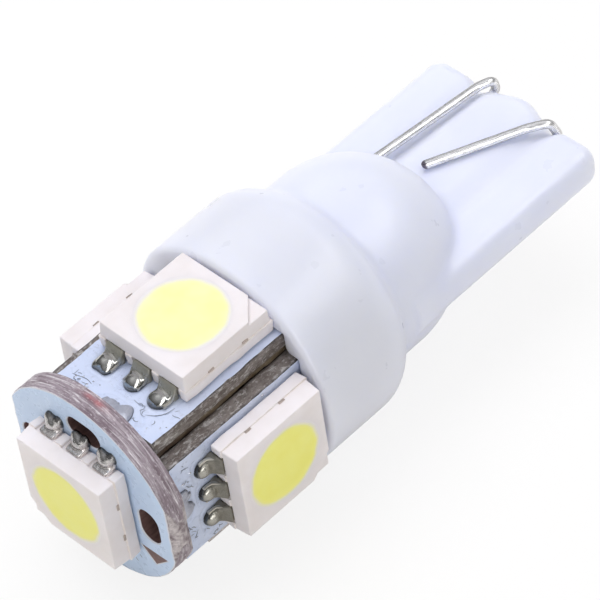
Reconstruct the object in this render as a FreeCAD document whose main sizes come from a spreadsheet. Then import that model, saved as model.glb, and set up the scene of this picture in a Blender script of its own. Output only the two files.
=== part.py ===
import FreeCAD, Part
import math
import os

import Sketcher

# Wedge base LED bulb lying on its side.
# Row frame: +Z up, z = 0 on the surface that the bulb lies on, +X towards the light end,
# the wedge blade points to -X. The bulb's own axis runs along X at z = axis_z.
# Positions along the axis are counted from the head's middle (the side LEDs' centre line)
# and row_x moves them all so that the box is centred on x = 0.

doc = FreeCAD.newDocument("wedge_base_led_bulb")
sheet = doc.addObject("Spreadsheet::Sheet", "dims")
sheet.Label = "dims"

CELLS = [
    # alias, value in mm or degrees, note
    ("axis_z", 5.63, "height of the bulb's axis above the surface it lies on"),
    ("row_x", 6.685, "shift along X that centres the bulb's box on the origin"),
    # moulded base
    ("collar_r", 5.63, "outer radius of the collar"),
    ("collar_front", -2.55, "front rim of the collar"),
    ("collar_lip", 0.34, "rounding of the front rim, outside"),
    ("collar_rear", -6.40, "where the collar's rear rounding starts"),
    ("collar_mid_x", -7.37, "middle point of the rear rounding"),
    ("collar_mid_r", 5.25, "radius there"),
    ("neck_front", -8.00, "where the collar meets the neck"),
    ("neck_r", 4.57, "radius of the neck and of its domed end"),
    ("dome_x", -9.55, "centre of the domed end"),
    ("socket_r", 5.12, "bore that holds the four side boards"),
    ("socket_floor", -6.50, "floor of that bore"),
    ("well_r", 3.00, "inner well for the resistor"),
    ("well_floor", -11.60, "floor of the inner well"),
    ("blade_start", -10.50, "inner end of the wedge blade, inside the dome"),
    ("blade_tip", -20.80, "end of the blade's middle rib"),
    ("side_tip", -20.50, "end of the blade's two side ribs"),
    ("corner_r", 0.90, "rounding of the blade's corners, seen from above"),
    ("nose_r", 1.00, "rounding of the blade's end, seen from the side"),
    ("blade_w", 9.50, "width of the wedge blade"),
    ("blade_h", 2.10, "thickness of the wedge blade over its ribs"),
    ("blade_side_r", 1.05, "rounding of the blade's long edges"),
    ("groove_y", 2.00, "distance of a wire groove from the middle"),
    ("groove_w", 1.90, "width of a wire groove between its two shoulders"),
    ("groove_d", 0.34, "depth of a wire groove"),
    ("notch_d", 0.70, "depth of the notches in the blade's end"),
    ("notch_w", 1.60, "width of those notches at the end"),
    ("notch_left_y", 1.95, "the left notch from the middle"),
    ("notch_right_y", 2.25, "the right notch from the middle"),
    ("wire_hole_r", 0.26, "wire hole through the blade"),
    ("hole_left_y", 1.65, "the left wire hole from the middle"),
    ("hole_right_y", 2.20, "the right wire hole from the middle"),
    ("gate_r", 0.24, "radius of the moulding gate mark on the dome"),
    # boards
    ("board_t", 0.80, "thickness of a side board"),
    ("board_w", 5.80, "width of a side board"),
    ("board_front", 4.88, "front ends of the side boards, at the disc"),
    ("board_rear", -6.50, "rear ends of the side boards, on the bore's floor"),
    ("rear_cut", 0.45, "corner chamfer at the rear ends"),
    ("top_face", 3.80, "outer face of the top board from the axis"),
    ("top_shift", 0.40, "its middle, towards +Y"),
    ("right_face", 4.00, "outer face of the right board from the axis"),
    ("right_shift", -0.20, "its middle, towards +Z"),
    ("left_face", 3.55, "outer face of the left board from the axis"),
    ("left_shift", -0.24, "its middle, towards +Z"),
    ("bottom_face", 4.13, "outer face of the bottom board from the axis"),
    ("bottom_shift", 0.00, "its middle, towards +Y"),
    ("disc_t", 1.05, "thickness of the front board"),
    ("disc_r", 4.90, "radius of the front board"),
    ("disc_y", 0.03, "centre of the front board"),
    ("disc_z", -0.12, "centre of the front board"),
    ("disc_flat_right", 4.86, "snapped web of the right flat, from the axis"),
    ("disc_flat_left", 4.48, "snapped web of the left flat, from the axis"),
    ("score_w", 0.22, "how far a score bevel cuts back each face"),
    ("score_d", 0.34, "depth of a score bevel"),
    ("slot_r", 0.57, "half width of a slot in the front board"),
    ("slot_half", 0.38, "half length between a slot's end centres"),
    ("slot_pos", 3.36, "distance of a slot from the board's centre"),
    ("slot_turn", 0.22, "sideways offset of a slot"),
    # light-emitting packages
    ("led_w", 5.00, "width of a package at its parting line"),
    ("led_h", 1.50, "height of a package"),
    ("led_part", 0.72, "height of the parting line"),
    ("led_draft", 4.0, "draft of the side walls in degrees"),
    ("led_edge", 0.12, "rounding of the package's upright edges"),
    ("lens_r", 1.98, "radius of the lens pool at the top"),
    ("lens_floor_r", 1.62, "radius of the lens pool at its floor"),
    ("lens_d", 0.80, "depth of the lens pool"),
    ("lens_dish", 0.05, "how much the lens pool's surface is dished"),
    ("mark_leg", 1.12, "legs of the corner mark"),
    ("mark_d", 0.18, "depth of the corner mark"),
    ("lead_w", 0.90, "width of a lead"),
    ("lead_t", 0.15, "thickness of a lead"),
    ("lead_pitch", 1.54, "spacing of the leads"),
    ("lead_in", 2.12, "inner end of a lead, from the package's middle"),
    ("lead_h", 0.50, "underside of a lead where it leaves the package"),
    ("lead_bend", 2.50, "first bend of a lead"),
    ("lead_foot", 2.84, "second bend of a lead, on the board"),
    ("lead_out", 3.28, "outer end of a lead"),
    ("niche_w", 1.14, "width of the niche around a lead"),
    ("niche_d", 0.10, "depth of that niche"),
    ("bead_x", 2.88, "centre of a solder bead, from the package's middle"),
    ("bead_l", 0.60, "half length of a solder bead"),
    ("bead_w", 0.55, "half width of a solder bead"),
    ("bead_h", 0.50, "height of a solder bead"),
    ("right_led_x", 0.15, "the right package sits this far forward"),
    ("front_led_y", 0.09, "centre of the front package"),
    ("front_led_z", 0.00, "centre of the front package"),
    # joints between boards
    ("joint_r", 0.48, "height of a board-to-disc solder joint"),
    ("joint_reach", 0.85, "reach of such a joint along the side board"),
    ("joint_l", 1.96, "length of such a joint across the board"),
    # wires
    ("wire_r", 0.19, "radius of the tinned wires"),
    ("resistor_r", 0.95, "radius of the resistor's ends"),
    ("resistor_waist", 0.80, "radius of the resistor between its ends"),
    ("resistor_l", 3.60, "length of the resistor"),
    ("resistor_x", -11.30, "rear end of the resistor"),
    ("resistor_y", -1.65, "the resistor stands on the left wire's line"),
]
# way points of the three bent wires, counted like every other position from the bulb's axis
WAYS = {
    "left_wire": [(-11.30, -1.65, 0.00), (-20.30, -1.65, 0.00), (-20.56, -1.55, 0.62), (-20.26, -1.42, 1.46),
                  (-19.65, -1.70, 1.27), (-13.58, -2.29, 1.26)],
    "right_wire": [(-5.30, 2.85, 0.30), (-7.60, 2.45, 0.10), (-9.90, 2.20, 0.00), (-20.02, 2.20, 0.00),
                   (-20.30, 2.52, 0.42), (-19.92, 2.38, 1.52), (-19.00, 1.67, 1.27), (-14.80, -0.30, 1.27)],
    "lead_wire": [(-7.70, -1.65, 0.00), (-6.60, -1.65, 0.00), (-5.80, -2.40, -0.02), (-4.60, -2.40, -0.02)],
}
for way, points in WAYS.items():
    for n, p in enumerate(points):
        for axis, v in zip("xyz", p):
            CELLS.append(("%s_%d_%s" % (way, n, axis), v, "way point %d of the %s" % (n, way.replace("_", " "))))
VAL = {}
for row, (alias, value, note) in enumerate(CELLS, start=1):
    sheet.set("A%d" % row, alias)
    sheet.set("B%d" % row, str(value))
    sheet.setAlias("B%d" % row, alias)
    sheet.set("C%d" % row, note)
    VAL[alias] = value
doc.recompute()


class Dim:
    """A number with the sheet formula that it comes from."""

    def __init__(self, value, text):
        self.value = float(value)
        self.text = text

    def _other(self, o):
        return o if isinstance(o, Dim) else Dim(o, repr(float(o)))

    def __add__(self, o):
        o = self._other(o)
        return Dim(self.value + o.value, "(%s + %s)" % (self.text, o.text))

    def __radd__(self, o):
        return self._other(o) + self

    def __sub__(self, o):
        o = self._other(o)
        return Dim(self.value - o.value, "(%s - %s)" % (self.text, o.text))

    def __rsub__(self, o):
        return self._other(o) - self

    def __mul__(self, o):
        o = self._other(o)
        return Dim(self.value * o.value, "(%s * %s)" % (self.text, o.text))

    __rmul__ = __mul__

    def __truediv__(self, o):
        o = self._other(o)
        return Dim(self.value / o.value, "(%s / %s)" % (self.text, o.text))

    def __neg__(self):
        return Dim(-self.value, "(0 - %s)" % self.text)


def D(alias):
    return Dim(VAL[alias], "dims." + alias)


def const(v):
    return Dim(v, repr(float(v)))


def new_body(label, compound=False):
    body = doc.addObject("PartDesign::Body", label)
    body.Label = label
    if compound and hasattr(body, "AllowCompound"):
        body.AllowCompound = True
    return body


def origin_plane(body, role):
    for o in body.Origin.OriginFeatures:
        if o.Role == role:
            return o
    raise RuntimeError("no plane " + role)


def new_sketch(body, name, role, offset=None):
    sk = body.newObject("Sketcher::SketchObject", name)
    sk.AttachmentSupport = [(origin_plane(body, role), "")]
    sk.MapMode = "FlatFace"
    if offset is not None:
        sk.AttachmentOffset = FreeCAD.Placement(FreeCAD.Vector(0, 0, offset.value), FreeCAD.Rotation())
        sk.setExpression("AttachmentOffset.Base.z", offset.text)
    return sk


def pin(sk, geo, pos, x, y, tag):
    """Places one point of the sketch by two named distances from its origin."""
    for axis, dim in (("DistanceX", x), ("DistanceY", y)):
        if abs(dim.value) < 1e-9 and dim.text == "0.0":
            if axis == "DistanceX":
                sk.addConstraint(Sketcher.Constraint("PointOnObject", geo, pos, -2))
            else:
                sk.addConstraint(Sketcher.Constraint("PointOnObject", geo, pos, -1))
            continue
        i = sk.addConstraint(Sketcher.Constraint(axis, -1, 1, geo, pos, dim.value))
        cname = "%s_%s" % (tag, "x" if axis == "DistanceX" else "y")
        sk.renameConstraint(i, cname)
        sk.setExpression("Constraints." + cname, dim.text)


def profile(sk, points, arcs=None, tag="p"):
    """A closed outline through the points. arcs maps an edge's number to a point on its arc."""
    arcs = arcs or {}
    n = len(points)
    geos = []
    for i in range(n):
        a, b = points[i], points[(i + 1) % n]
        va = FreeCAD.Vector(a[0].value, a[1].value, 0)
        vb = FreeCAD.Vector(b[0].value, b[1].value, 0)
        if i in arcs:
            m = arcs[i]
            vm = FreeCAD.Vector(m[0].value, m[1].value, 0)
            c = Part.Arc(va, vm, vb).toShape().Curve
            mid = c.Center
            ang = [math.atan2(v.y - mid.y, v.x - mid.x) for v in (va, vm, vb)]
            span = (ang[2] - ang[0]) % (2 * math.pi)
            forward = (ang[1] - ang[0]) % (2 * math.pi) < span
            ring = Part.Circle(mid, FreeCAD.Vector(0, 0, 1), c.Radius)
            if forward:
                arc = Part.ArcOfCircle(ring, ang[0], ang[0] + span)
            else:
                arc = Part.ArcOfCircle(ring, ang[2], ang[2] + 2 * math.pi - span)
            geos.append((sk.addGeometry(arc, False), (1, 2) if forward else (2, 1)))
        else:
            geos.append((sk.addGeometry(Part.LineSegment(va, vb), False), (1, 2)))

    def ends(i):
        return geos[i][1]

    for i in range(n):
        j = (i + 1) % n
        sk.addConstraint(Sketcher.Constraint("Coincident", geos[i][0], ends(i)[1], geos[j][0], ends(j)[0]))
    for i in range(n):
        pin(sk, geos[i][0], ends(i)[0], points[i][0], points[i][1], "%s%d" % (tag, i))
    for i, m in arcs.items():
        # the arc's bulge is fixed by a point that lies on it
        p = sk.addGeometry(Part.Point(FreeCAD.Vector(m[0].value, m[1].value, 0)), True)
        sk.addConstraint(Sketcher.Constraint("PointOnObject", p, 1, geos[i][0]))
        pin(sk, p, 1, m[0], m[1], "%sm%d" % (tag, i))
    return geos


def rect(sk, x0, y0, x1, y1, tag="r"):
    return profile(sk, [(x0, y0), (x1, y0), (x1, y1), (x0, y1)], tag=tag)


def circle(sk, x, y, r, tag="c"):
    g = sk.addGeometry(Part.Circle(FreeCAD.Vector(x.value, y.value, 0), FreeCAD.Vector(0, 0, 1), r.value), False)
    pin(sk, g, 3, x, y, tag)
    i = sk.addConstraint(Sketcher.Constraint("Radius", g, r.value))
    sk.renameConstraint(i, tag + "_r")
    sk.setExpression("Constraints.%s_r" % tag, r.text)
    return g


def pad(body, name, sk, length, reverse=False, midplane=False, taper=None):
    f = body.newObject("PartDesign::Pad", name)
    f.Profile = sk
    f.Length = length.value
    f.setExpression("Length", length.text)
    f.Reversed = reverse
    if midplane:
        f.Midplane = True
    if taper is not None:
        f.TaperAngle = taper.value
        f.setExpression("TaperAngle", taper.text)
    doc.recompute()
    return f


def cut_changed(body, f, before, name):
    doc.recompute()
    after = f.Shape.Volume
    if not after < before - 1e-6:
        raise RuntimeError("%s cuts nothing: %.4f -> %.4f" % (name, before, after))
    return f


def pocket(body, name, sk, length=None, reverse=False, through=False, midplane=False):
    before = body.Tip.Shape.Volume
    f = body.newObject("PartDesign::Pocket", name)
    f.Profile = sk
    if through:
        f.Type = "ThroughAll"
        f.Midplane = midplane
    else:
        f.Length = length.value
        f.setExpression("Length", length.text)
    f.Reversed = reverse
    return cut_changed(body, f, before, name)


def revolve(body, name, sk, axis="H_Axis"):
    f = body.newObject("PartDesign::Revolution", name)
    f.Profile = sk
    f.ReferenceAxis = (sk, [axis])
    f.Angle = 360.0
    doc.recompute()
    return f


def groove(body, name, sk, axis="H_Axis"):
    before = body.Tip.Shape.Volume
    f = body.newObject("PartDesign::Groove", name)
    f.Profile = sk
    f.ReferenceAxis = (sk, [axis])
    f.Angle = 360.0
    return cut_changed(body, f, before, name)


def fillet(body, name, radius, choose, chamfer=False):
    base = body.Tip
    names = []
    for i, e in enumerate(base.Shape.Edges, start=1):
        if choose(e):
            names.append("Edge%d" % i)
    if not names:
        raise RuntimeError(name + " finds no edge")
    f = body.newObject("PartDesign::Chamfer" if chamfer else "PartDesign::Fillet", name)
    f.Base = (base, names)
    prop = "Size" if chamfer else "Radius"
    setattr(f, prop, radius.value)
    f.setExpression(prop, radius.text)
    doc.recompute()
    return f


def place(obj, x, y, z, turn=None):
    """Puts a piece at a point of the row frame, with formulas for all three numbers."""
    rot = turn if turn is not None else FreeCAD.Rotation()
    obj.Placement = FreeCAD.Placement(FreeCAD.Vector(x.value, y.value, z.value), rot)
    obj.setExpression("Placement.Base.x", x.text)
    obj.setExpression("Placement.Base.y", y.text)
    obj.setExpression("Placement.Base.z", z.text)


ZERO = Dim(0.0, "0.0")
ROW_X, AXIS_Z = D("row_x"), D("axis_z")
NODES = []

# ---------------------------------------------------------------------------
# moulded base: collar, neck with a domed end, and the wedge blade, one moulding
# ---------------------------------------------------------------------------
base = new_body("wedge_base")
NODES.append(base)

sk = new_sketch(base, "base_outline", "XZ_Plane")
s45 = math.sqrt(0.5)
lip = D("collar_lip")
dome_end = D("dome_x") - D("neck_r")
pts = [
    (D("collar_front"), ZERO),
    (D("collar_front"), D("collar_r") - lip),
    (D("collar_front") - lip, D("collar_r")),
    (D("collar_rear"), D("collar_r")),
    (D("neck_front"), D("neck_r")),
    (D("dome_x"), D("neck_r")),
    (dome_end, ZERO),
]
arcs = {
    1: (D("collar_front") - lip * (1 - s45), D("collar_r") - lip * (1 - s45)),
    3: (D("collar_mid_x"), D("collar_mid_r")),
    5: (D("dome_x") - D("neck_r") * s45, D("neck_r") * s45),
}
profile(sk, pts, arcs)
doc.recompute()
revolve(base, "base_turned", sk)

# blade: three ribs and two soft grooves on each face, drawn across the axis and padded along it
sk = new_sketch(base, "blade_section", "YZ_Plane", D("blade_start"))
hw, hh, sr = D("blade_w") / 2, D("blade_h") / 2, D("blade_side_r")
gy, gw, gd = D("groove_y"), D("groove_w") / 2, D("groove_d")
# a groove is two convex shoulders and a hollow between them, each shoulder a third of the way down
sh_y, sh_z = gw / 3, gd / 3
ratio = VAL["groove_w"] / 2 / 3, VAL["groove_d"] / 3
shoulder_r = (ratio[0] ** 2 + ratio[1] ** 2) / (2 * ratio[1])
half_turn = math.asin(ratio[0] / shoulder_r) / 2
mid_y = math.sin(half_turn) * shoulder_r / ratio[0]
mid_z = (1 - math.cos(half_turn)) * shoulder_r / ratio[1]


def groove_points(cy, side, going):
    """Start, inflection, inflection and end of a groove on the upper (1) or lower (-1) face."""
    g = going
    top = hh * side
    p = [(cy - gw * g, top), (cy - (gw - sh_y) * g, top - sh_z * side), (cy + (gw - sh_y) * g, top - sh_z * side),
         (cy + gw * g, top)]
    m = [(cy - (gw - sh_y * mid_y) * g, top - sh_z * mid_z * side), (cy, top - gd * side),
         (cy + (gw - sh_y * mid_y) * g, top - sh_z * mid_z * side)]
    return p, m


pts, arcs = [], {}


def add_run(points, mids):
    for i, q in enumerate(points):
        if i < len(mids):
            arcs[len(pts)] = mids[i]
        pts.append(q)


pts.append((-hw + sr, -hh))
add_run(*groove_points(-gy, -1, 1))
add_run(*groove_points(gy, -1, 1))
add_run([(hw - sr, -hh)], [(hw, ZERO)])
pts.append((hw - sr, hh))
add_run(*groove_points(gy, 1, -1))
add_run(*groove_points(-gy, 1, -1))
add_run([(-hw + sr, hh)], [(-hw, ZERO)])
profile(sk, pts, arcs)
doc.recompute()
pad(base, "blade", sk, D("blade_start") - D("blade_tip") + 0.1, reverse=True)

# the end seen from above: rounded corners, a notch where each wire comes out, a longer middle rib
sk = new_sketch(base, "blade_end_plan", "XY_Plane")
tip, side_tip, cr = D("blade_tip"), D("side_tip"), D("corner_r")
nw, nd = D("notch_w") / 2, D("notch_d")
nl, nrt = D("notch_left_y"), D("notch_right_y")
far = tip - 1.0
pts = [
    (side_tip + cr, hw), (side_tip, hw - cr), (side_tip, nrt + nw), (tip + 0.27, nrt - nw), (tip + 0.27, -nl + nw),
    (side_tip, -nl - nw), (side_tip, -hw + cr), (side_tip + cr, -hw), (side_tip + cr, -hw - 0.3), (far, -hw - 0.3),
    (far, hw + 0.3), (side_tip + cr, hw + 0.3),
]
arcs = {
    0: (side_tip + cr * (1 - s45), hw - cr * (1 - s45)),
    2: (side_tip + nd, nrt),
    3: (tip, (nrt - nl) / 2),
    4: (side_tip + nd, -nl),
    6: (side_tip + cr * (1 - s45), -hw + cr * (1 - s45)),
}
profile(sk, pts, arcs)
doc.recompute()
pocket(base, "blade_end_cut", sk, through=True, midplane=True)

# the end seen from the side: rounded over above and below, the middle rib apart from the side ribs
nr = D("nose_r")
for name, offset, end, length, mid, rev in (
        ("nose_middle", ZERO, tip, D("groove_y") * 2, True, False),
        ("nose_side_a", D("groove_y"), side_tip, const(4.0), False, True),
        ("nose_side_b", -D("groove_y"), side_tip, const(4.0), False, False)):
    sk = new_sketch(base, name, "XZ_Plane", offset)
    for side, tag in ((1, "u"), (-1, "l")):
        z1 = hh * side
        z0 = (hh - nr) * side
        z2 = (hh + 0.3) * side
        profile(sk, [(end + nr, z1), (end, z0), (end - 0.5, z0), (end - 0.5, z2), (end + nr, z2)],
                {0: (end + nr * (1 - s45), (hh - nr * (1 - s45)) * side)}, tag=tag)
    doc.recompute()
    before = base.Tip.Shape.Volume
    f = base.newObject("PartDesign::Pocket", name + "_cut")
    f.Profile = sk
    f.Length = length.value
    f.setExpression("Length", length.text)
    f.Midplane = mid
    f.Reversed = rev
    cut_changed(base, f, before, name)

# crease where the collar meets the neck
def neck_crease(e):
    b = e.BoundBox
    return abs(b.XMin - VAL["neck_front"]) < 1e-3 and abs(b.XMax - VAL["neck_front"]) < 1e-3

fillet(base, "neck_crease", const(0.25), neck_crease)

# bore for the boards, well for the resistor
sk = new_sketch(base, "socket_outline", "XZ_Plane")
profile(sk, [
    (D("collar_front") + 0.5, ZERO), (D("collar_front") + 0.5, D("socket_r")), (D("socket_floor"), D("socket_r")),
    (D("socket_floor"), D("well_r")), (D("well_floor"), D("well_r")), (D("well_floor"), ZERO),
])
doc.recompute()
groove(base, "socket_and_well", sk)

# two wire holes from the well to the notches
sk = new_sketch(base, "wire_holes", "YZ_Plane", D("blade_tip") - 0.5)
circle(sk, D("hole_right_y"), ZERO, D("wire_hole_r"), "hole_a")
circle(sk, -D("hole_left_y"), ZERO, D("wire_hole_r"), "hole_b")
doc.recompute()
pocket(base, "wire_hole_cut", sk, D("well_floor") - D("blade_tip") + 0.6, reverse=True)

# inner edge of the rim
def rim_edge(e):
    b = e.BoundBox
    return abs(b.XMin - VAL["collar_front"]) < 1e-3 and b.XLength < 1e-3 and abs(b.YLength / 2 - VAL["socket_r"]) < 1e-2

fillet(base, "rim_inner", const(0.15), rim_edge)

# moulding gate mark on top of the dome
mark = base.newObject("PartDesign::AdditiveSphere", "gate_mark")
mark.Radius = VAL["gate_r"]
mark.setExpression("Radius", "dims.gate_r")
mark.Placement = FreeCAD.Placement(FreeCAD.Vector(VAL["dome_x"] - 4.36, -0.22, 1.10), FreeCAD.Rotation())
doc.recompute()
place(base, ROW_X, ZERO, AXIS_Z)

# ---------------------------------------------------------------------------
# side boards: own frame has Z outwards, X along the bulb, origin at the outer face
# ---------------------------------------------------------------------------
TURNS = {
    "top": FreeCAD.Rotation(FreeCAD.Vector(1, 0, 0), 0),
    "right": FreeCAD.Rotation(FreeCAD.Vector(1, 0, 0), -90),
    "bottom": FreeCAD.Rotation(FreeCAD.Vector(1, 0, 0), 180),
    "left": FreeCAD.Rotation(FreeCAD.Vector(1, 0, 0), 90),
}
FACE = {
    "top": (D("top_shift"), AXIS_Z + D("top_face")),
    "right": (D("right_face"), AXIS_Z + D("right_shift")),
    "bottom": (D("bottom_shift"), AXIS_Z - D("bottom_face")),
    "left": (-D("left_face"), AXIS_Z + D("left_shift")),
}
FORWARD = {"top": ZERO, "right": D("right_led_x"), "bottom": ZERO, "left": ZERO}

for side in ("top", "right", "bottom", "left"):
    body = new_body(side + "_board")
    NODES.append(body)
    sk = new_sketch(body, side + "_board_outline", "XY_Plane")
    w2, c = D("board_w") / 2, D("rear_cut")
    x0, x1 = D("board_rear"), D("board_front")
    profile(sk, [(x0, -w2 + c), (x0 + c, -w2), (x1, -w2), (x1, w2), (x0 + c, w2), (x0, w2 - c)])
    doc.recompute()
    pad(body, side + "_board_pad", sk, D("board_t"), reverse=True)
    y, z = FACE[side]
    place(body, ROW_X, y, z, TURNS[side])

# ---------------------------------------------------------------------------
# front board: a disc with two snapped flats and four slots
# ---------------------------------------------------------------------------
body = new_body("front_board")
NODES.append(body)
sk = new_sketch(body, "disc_outline", "YZ_Plane")
circle(sk, ZERO, ZERO, D("disc_r"), "disc")
doc.recompute()
pad(body, "disc", sk, D("disc_t"))

# each flat is the snapped web between two score bevels
sk = new_sketch(body, "score_section", "XY_Plane")
t, wv, dv = D("disc_t"), D("score_w"), D("score_d")
for side, flat, tag in ((1, D("disc_flat_right") - D("disc_y"), "sr"), (-1, D("disc_flat_left") + D("disc_y"), "sl")):
    out = side * 6.0
    f = flat * side
    b = (flat - wv) * side
    profile(sk, [(ZERO, b), (dv, f), (t - dv, f), (t, b), (t + 0.2, b), (t + 0.2, const(out)), (const(-0.2), const(out)), (const(-0.2), b)],
            tag=tag)
doc.recompute()
pocket(body, "score_cut", sk, through=True, midplane=True)

sk = new_sketch(body, "slots", "YZ_Plane")
sp, st, srr, sh = D("slot_pos"), D("slot_turn"), D("slot_r"), D("slot_half")
for k, (cy, cz, along) in enumerate(((st, sp, "y"), (sp, -st, "z"), (-st, -sp, "y"), (-sp, st, "z"))):
    if along == "y":
        pts = [(cy - sh, cz - srr), (cy + sh, cz - srr), (cy + sh, cz + srr), (cy - sh, cz + srr)]
        arcs = {1: (cy + sh + srr, cz), 3: (cy - sh - srr, cz)}
    else:
        pts = [(cy + srr, cz - sh), (cy + srr, cz + sh), (cy - srr, cz + sh), (cy - srr, cz - sh)]
        arcs = {1: (cy, cz + sh + srr), 3: (cy, cz - sh - srr)}
    profile(sk, pts, arcs, tag="s%d" % k)
doc.recompute()
pocket(body, "slot_cut", sk, through=True, midplane=True)
place(body, ROW_X + D("board_front"), D("disc_y"), AXIS_Z + D("disc_z"))

# ---------------------------------------------------------------------------
# light-emitting packages: housing, lens pool, leads and solder beads
# own frame: Z outwards from the board's face, leads leave along X
# ---------------------------------------------------------------------------
F_TURN = FreeCAD.Rotation(FreeCAD.Vector(0, 0, 1), FreeCAD.Vector(0, -1, 0), FreeCAD.Vector(1, 0, 0), "ZXY")
PACKS = [(s, ROW_X + FORWARD[s], FACE[s][0], FACE[s][1], TURNS[s]) for s in ("top", "right", "bottom", "left")]
PACKS.append(("front", ROW_X + D("board_front") + D("disc_t"), D("front_led_y"), AXIS_Z + D("front_led_z"), F_TURN))

for side, px, py, pz, turn in PACKS:
    # housing: walls drafted both ways from the parting line
    body = new_body(side + "_led_housing")
    NODES.append(body)
    half = D("led_w") / 2
    sk = new_sketch(body, side + "_upper", "XY_Plane", D("led_part"))
    rect(sk, -half, -half, half, half)
    doc.recompute()
    pad(body, side + "_upper_pad", sk, D("led_h") - D("led_part"), taper=-D("led_draft"))
    sk = new_sketch(body, side + "_lower", "XY_Plane", D("led_part"))
    rect(sk, -half, -half, half, half)
    doc.recompute()
    pad(body, side + "_lower_pad", sk, D("led_part"), reverse=True, taper=-D("led_draft"))

    def upright(e):
        b = e.BoundBox
        return b.ZLength > 0.3 and b.XLength < 0.3 and b.YLength < 0.3

    fillet(body, side + "_edges", D("led_edge"), upright)

    # lens pool
    sk = new_sketch(body, side + "_pool", "XZ_Plane")
    top = D("led_h")
    profile(sk, [(ZERO, top - D("lens_d")), (D("lens_floor_r"), top - D("lens_d")), (D("lens_r"), top), (D("lens_r"), top + 0.2), (ZERO, top + 0.2)])
    doc.recompute()
    groove(body, side + "_pool_cut", sk, "V_Axis")

    # corner mark: a stepped three-cornered recess
    sk = new_sketch(body, side + "_mark", "XY_Plane", D("led_h") + 0.1)
    leg = D("mark_leg")
    e = const(2.45)
    profile(sk, [(-e - 0.2, e + 0.2), (-e - 0.2, e - leg), (-e, e - leg), (-e + leg, e), (-e + leg, e + 0.2)])
    doc.recompute()
    pocket(body, side + "_mark_cut", sk, D("mark_d") + 0.1)

    # niches around the leads, then the slots that the leads sit in
    sk = new_sketch(body, side + "_niches", "YZ_Plane", half + 0.2)
    nw2, nd2 = D("niche_w") / 2, D("niche_d")
    for k in (-1, 0, 1):
        c = D("lead_pitch") * k if k else ZERO
        rect(sk, c - nw2, const(-0.1), c + nw2, D("lead_h") + D("lead_t"), tag="n%d" % (k + 1))
    doc.recompute()
    niche = pocket(body, side + "_niche_cut", sk, nd2 + 0.2)
    sk = new_sketch(body, side + "_slots", "YZ_Plane", half + 0.2)
    lw2 = D("lead_w") / 2
    for k in (-1, 0, 1):
        c = D("lead_pitch") * k if k else ZERO
        rect(sk, c - lw2, D("lead_h"), c + lw2, D("lead_h") + D("lead_t"), tag="q%d" % (k + 1))
    doc.recompute()
    slot = pocket(body, side + "_slot_cut", sk, half + 0.2 - D("lead_in"))
    before = body.Tip.Shape.Volume
    mirror = body.newObject("PartDesign::Mirrored", side + "_other_side")
    mirror.Originals = [niche, slot]
    mirror.MirrorPlane = (origin_plane(body, "YZ_Plane"), [""])
    body.Tip = mirror
    cut_changed(body, mirror, before, side + "_other_side")
    place(body, px, py, pz, turn)
    housing = body

    # lens pool filling
    body = new_body(side + "_led_lens")
    NODES.append(body)
    sk = new_sketch(body, side + "_lens_outline", "XZ_Plane")
    profile(sk, [(ZERO, top - D("lens_d")), (D("lens_floor_r"), top - D("lens_d")), (D("lens_r"), top), (ZERO, top - D("lens_dish"))],
            {2: (D("lens_r") * 0.5, top - D("lens_dish") * 0.75)})
    doc.recompute()
    revolve(body, side + "_lens_turned", sk, "V_Axis")
    place(body, px, py, pz, turn)

    # six bent leads
    leads = new_body(side + "_led_leads", compound=True)
    NODES.append(leads)
    lh, lt = D("lead_h"), D("lead_t")
    first = []
    for k in (-1, 0, 1):
        c = D("lead_pitch") * k if k else ZERO
        sk = new_sketch(leads, "%s_lead_%d" % (side, k + 1), "XZ_Plane", -c)
        profile(sk, [
            (D("lead_in"), lh), (D("lead_bend"), lh), (D("lead_foot"), ZERO), (D("lead_out"), ZERO),
            (D("lead_out"), lt), (D("lead_foot") + lt * 0.62, lt), (D("lead_bend") + lt * 0.62, lh + lt), (D("lead_in"), lh + lt),
        ])
        doc.recompute()
        first.append(pad(leads, "%s_lead_pad_%d" % (side, k + 1), sk, D("lead_w"), midplane=True))
    mirror = leads.newObject("PartDesign::Mirrored", side + "_leads_mirrored")
    mirror.Originals = first
    mirror.MirrorPlane = (origin_plane(leads, "YZ_Plane"), [""])
    leads.Tip = mirror
    doc.recompute()
    place(leads, px, py, pz, turn)

    # solder beads over the leads' feet
    beads = []
    for s in (1, -1):
        for k in (-1, 0, 1):
            b = doc.addObject("Part::Ellipsoid", "%s_bead_%d_%d" % (side, s + 1, k + 1))
            # half sizes: height off the board, length along the lead, width across it
            b.Radius1 = VAL["bead_h"]
            b.Radius2 = VAL["bead_l"]
            b.Radius3 = VAL["bead_w"]
            b.setExpression("Radius1", "dims.bead_h")
            b.setExpression("Radius2", "dims.bead_l")
            b.setExpression("Radius3", "dims.bead_w")
            b.Angle1 = 0
            b.Angle2 = 90
            b.Angle3 = 360
            bx = D("bead_x") * s
            by = D("lead_pitch") * k if k else ZERO
            b.Placement = FreeCAD.Placement(FreeCAD.Vector(bx.value, by.value, 0), FreeCAD.Rotation())
            b.setExpression("Placement.Base.x", bx.text)
            b.setExpression("Placement.Base.y", by.text)
            beads.append(b)
    group = doc.addObject("Part::Compound", side + "_beads")
    group.Links = beads
    place(group, px, py, pz, turn)
    doc.recompute()
    inner = doc.addObject("Part::Compound", side + "_bead_limits")
    inner.Links = [leads, housing]
    doc.recompute()
    solder = doc.addObject("Part::Cut", side + "_led_solder")
    solder.Label = side + "_led_solder"
    solder.Base = group
    solder.Tool = inner
    doc.recompute()
    NODES.append(solder)

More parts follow.
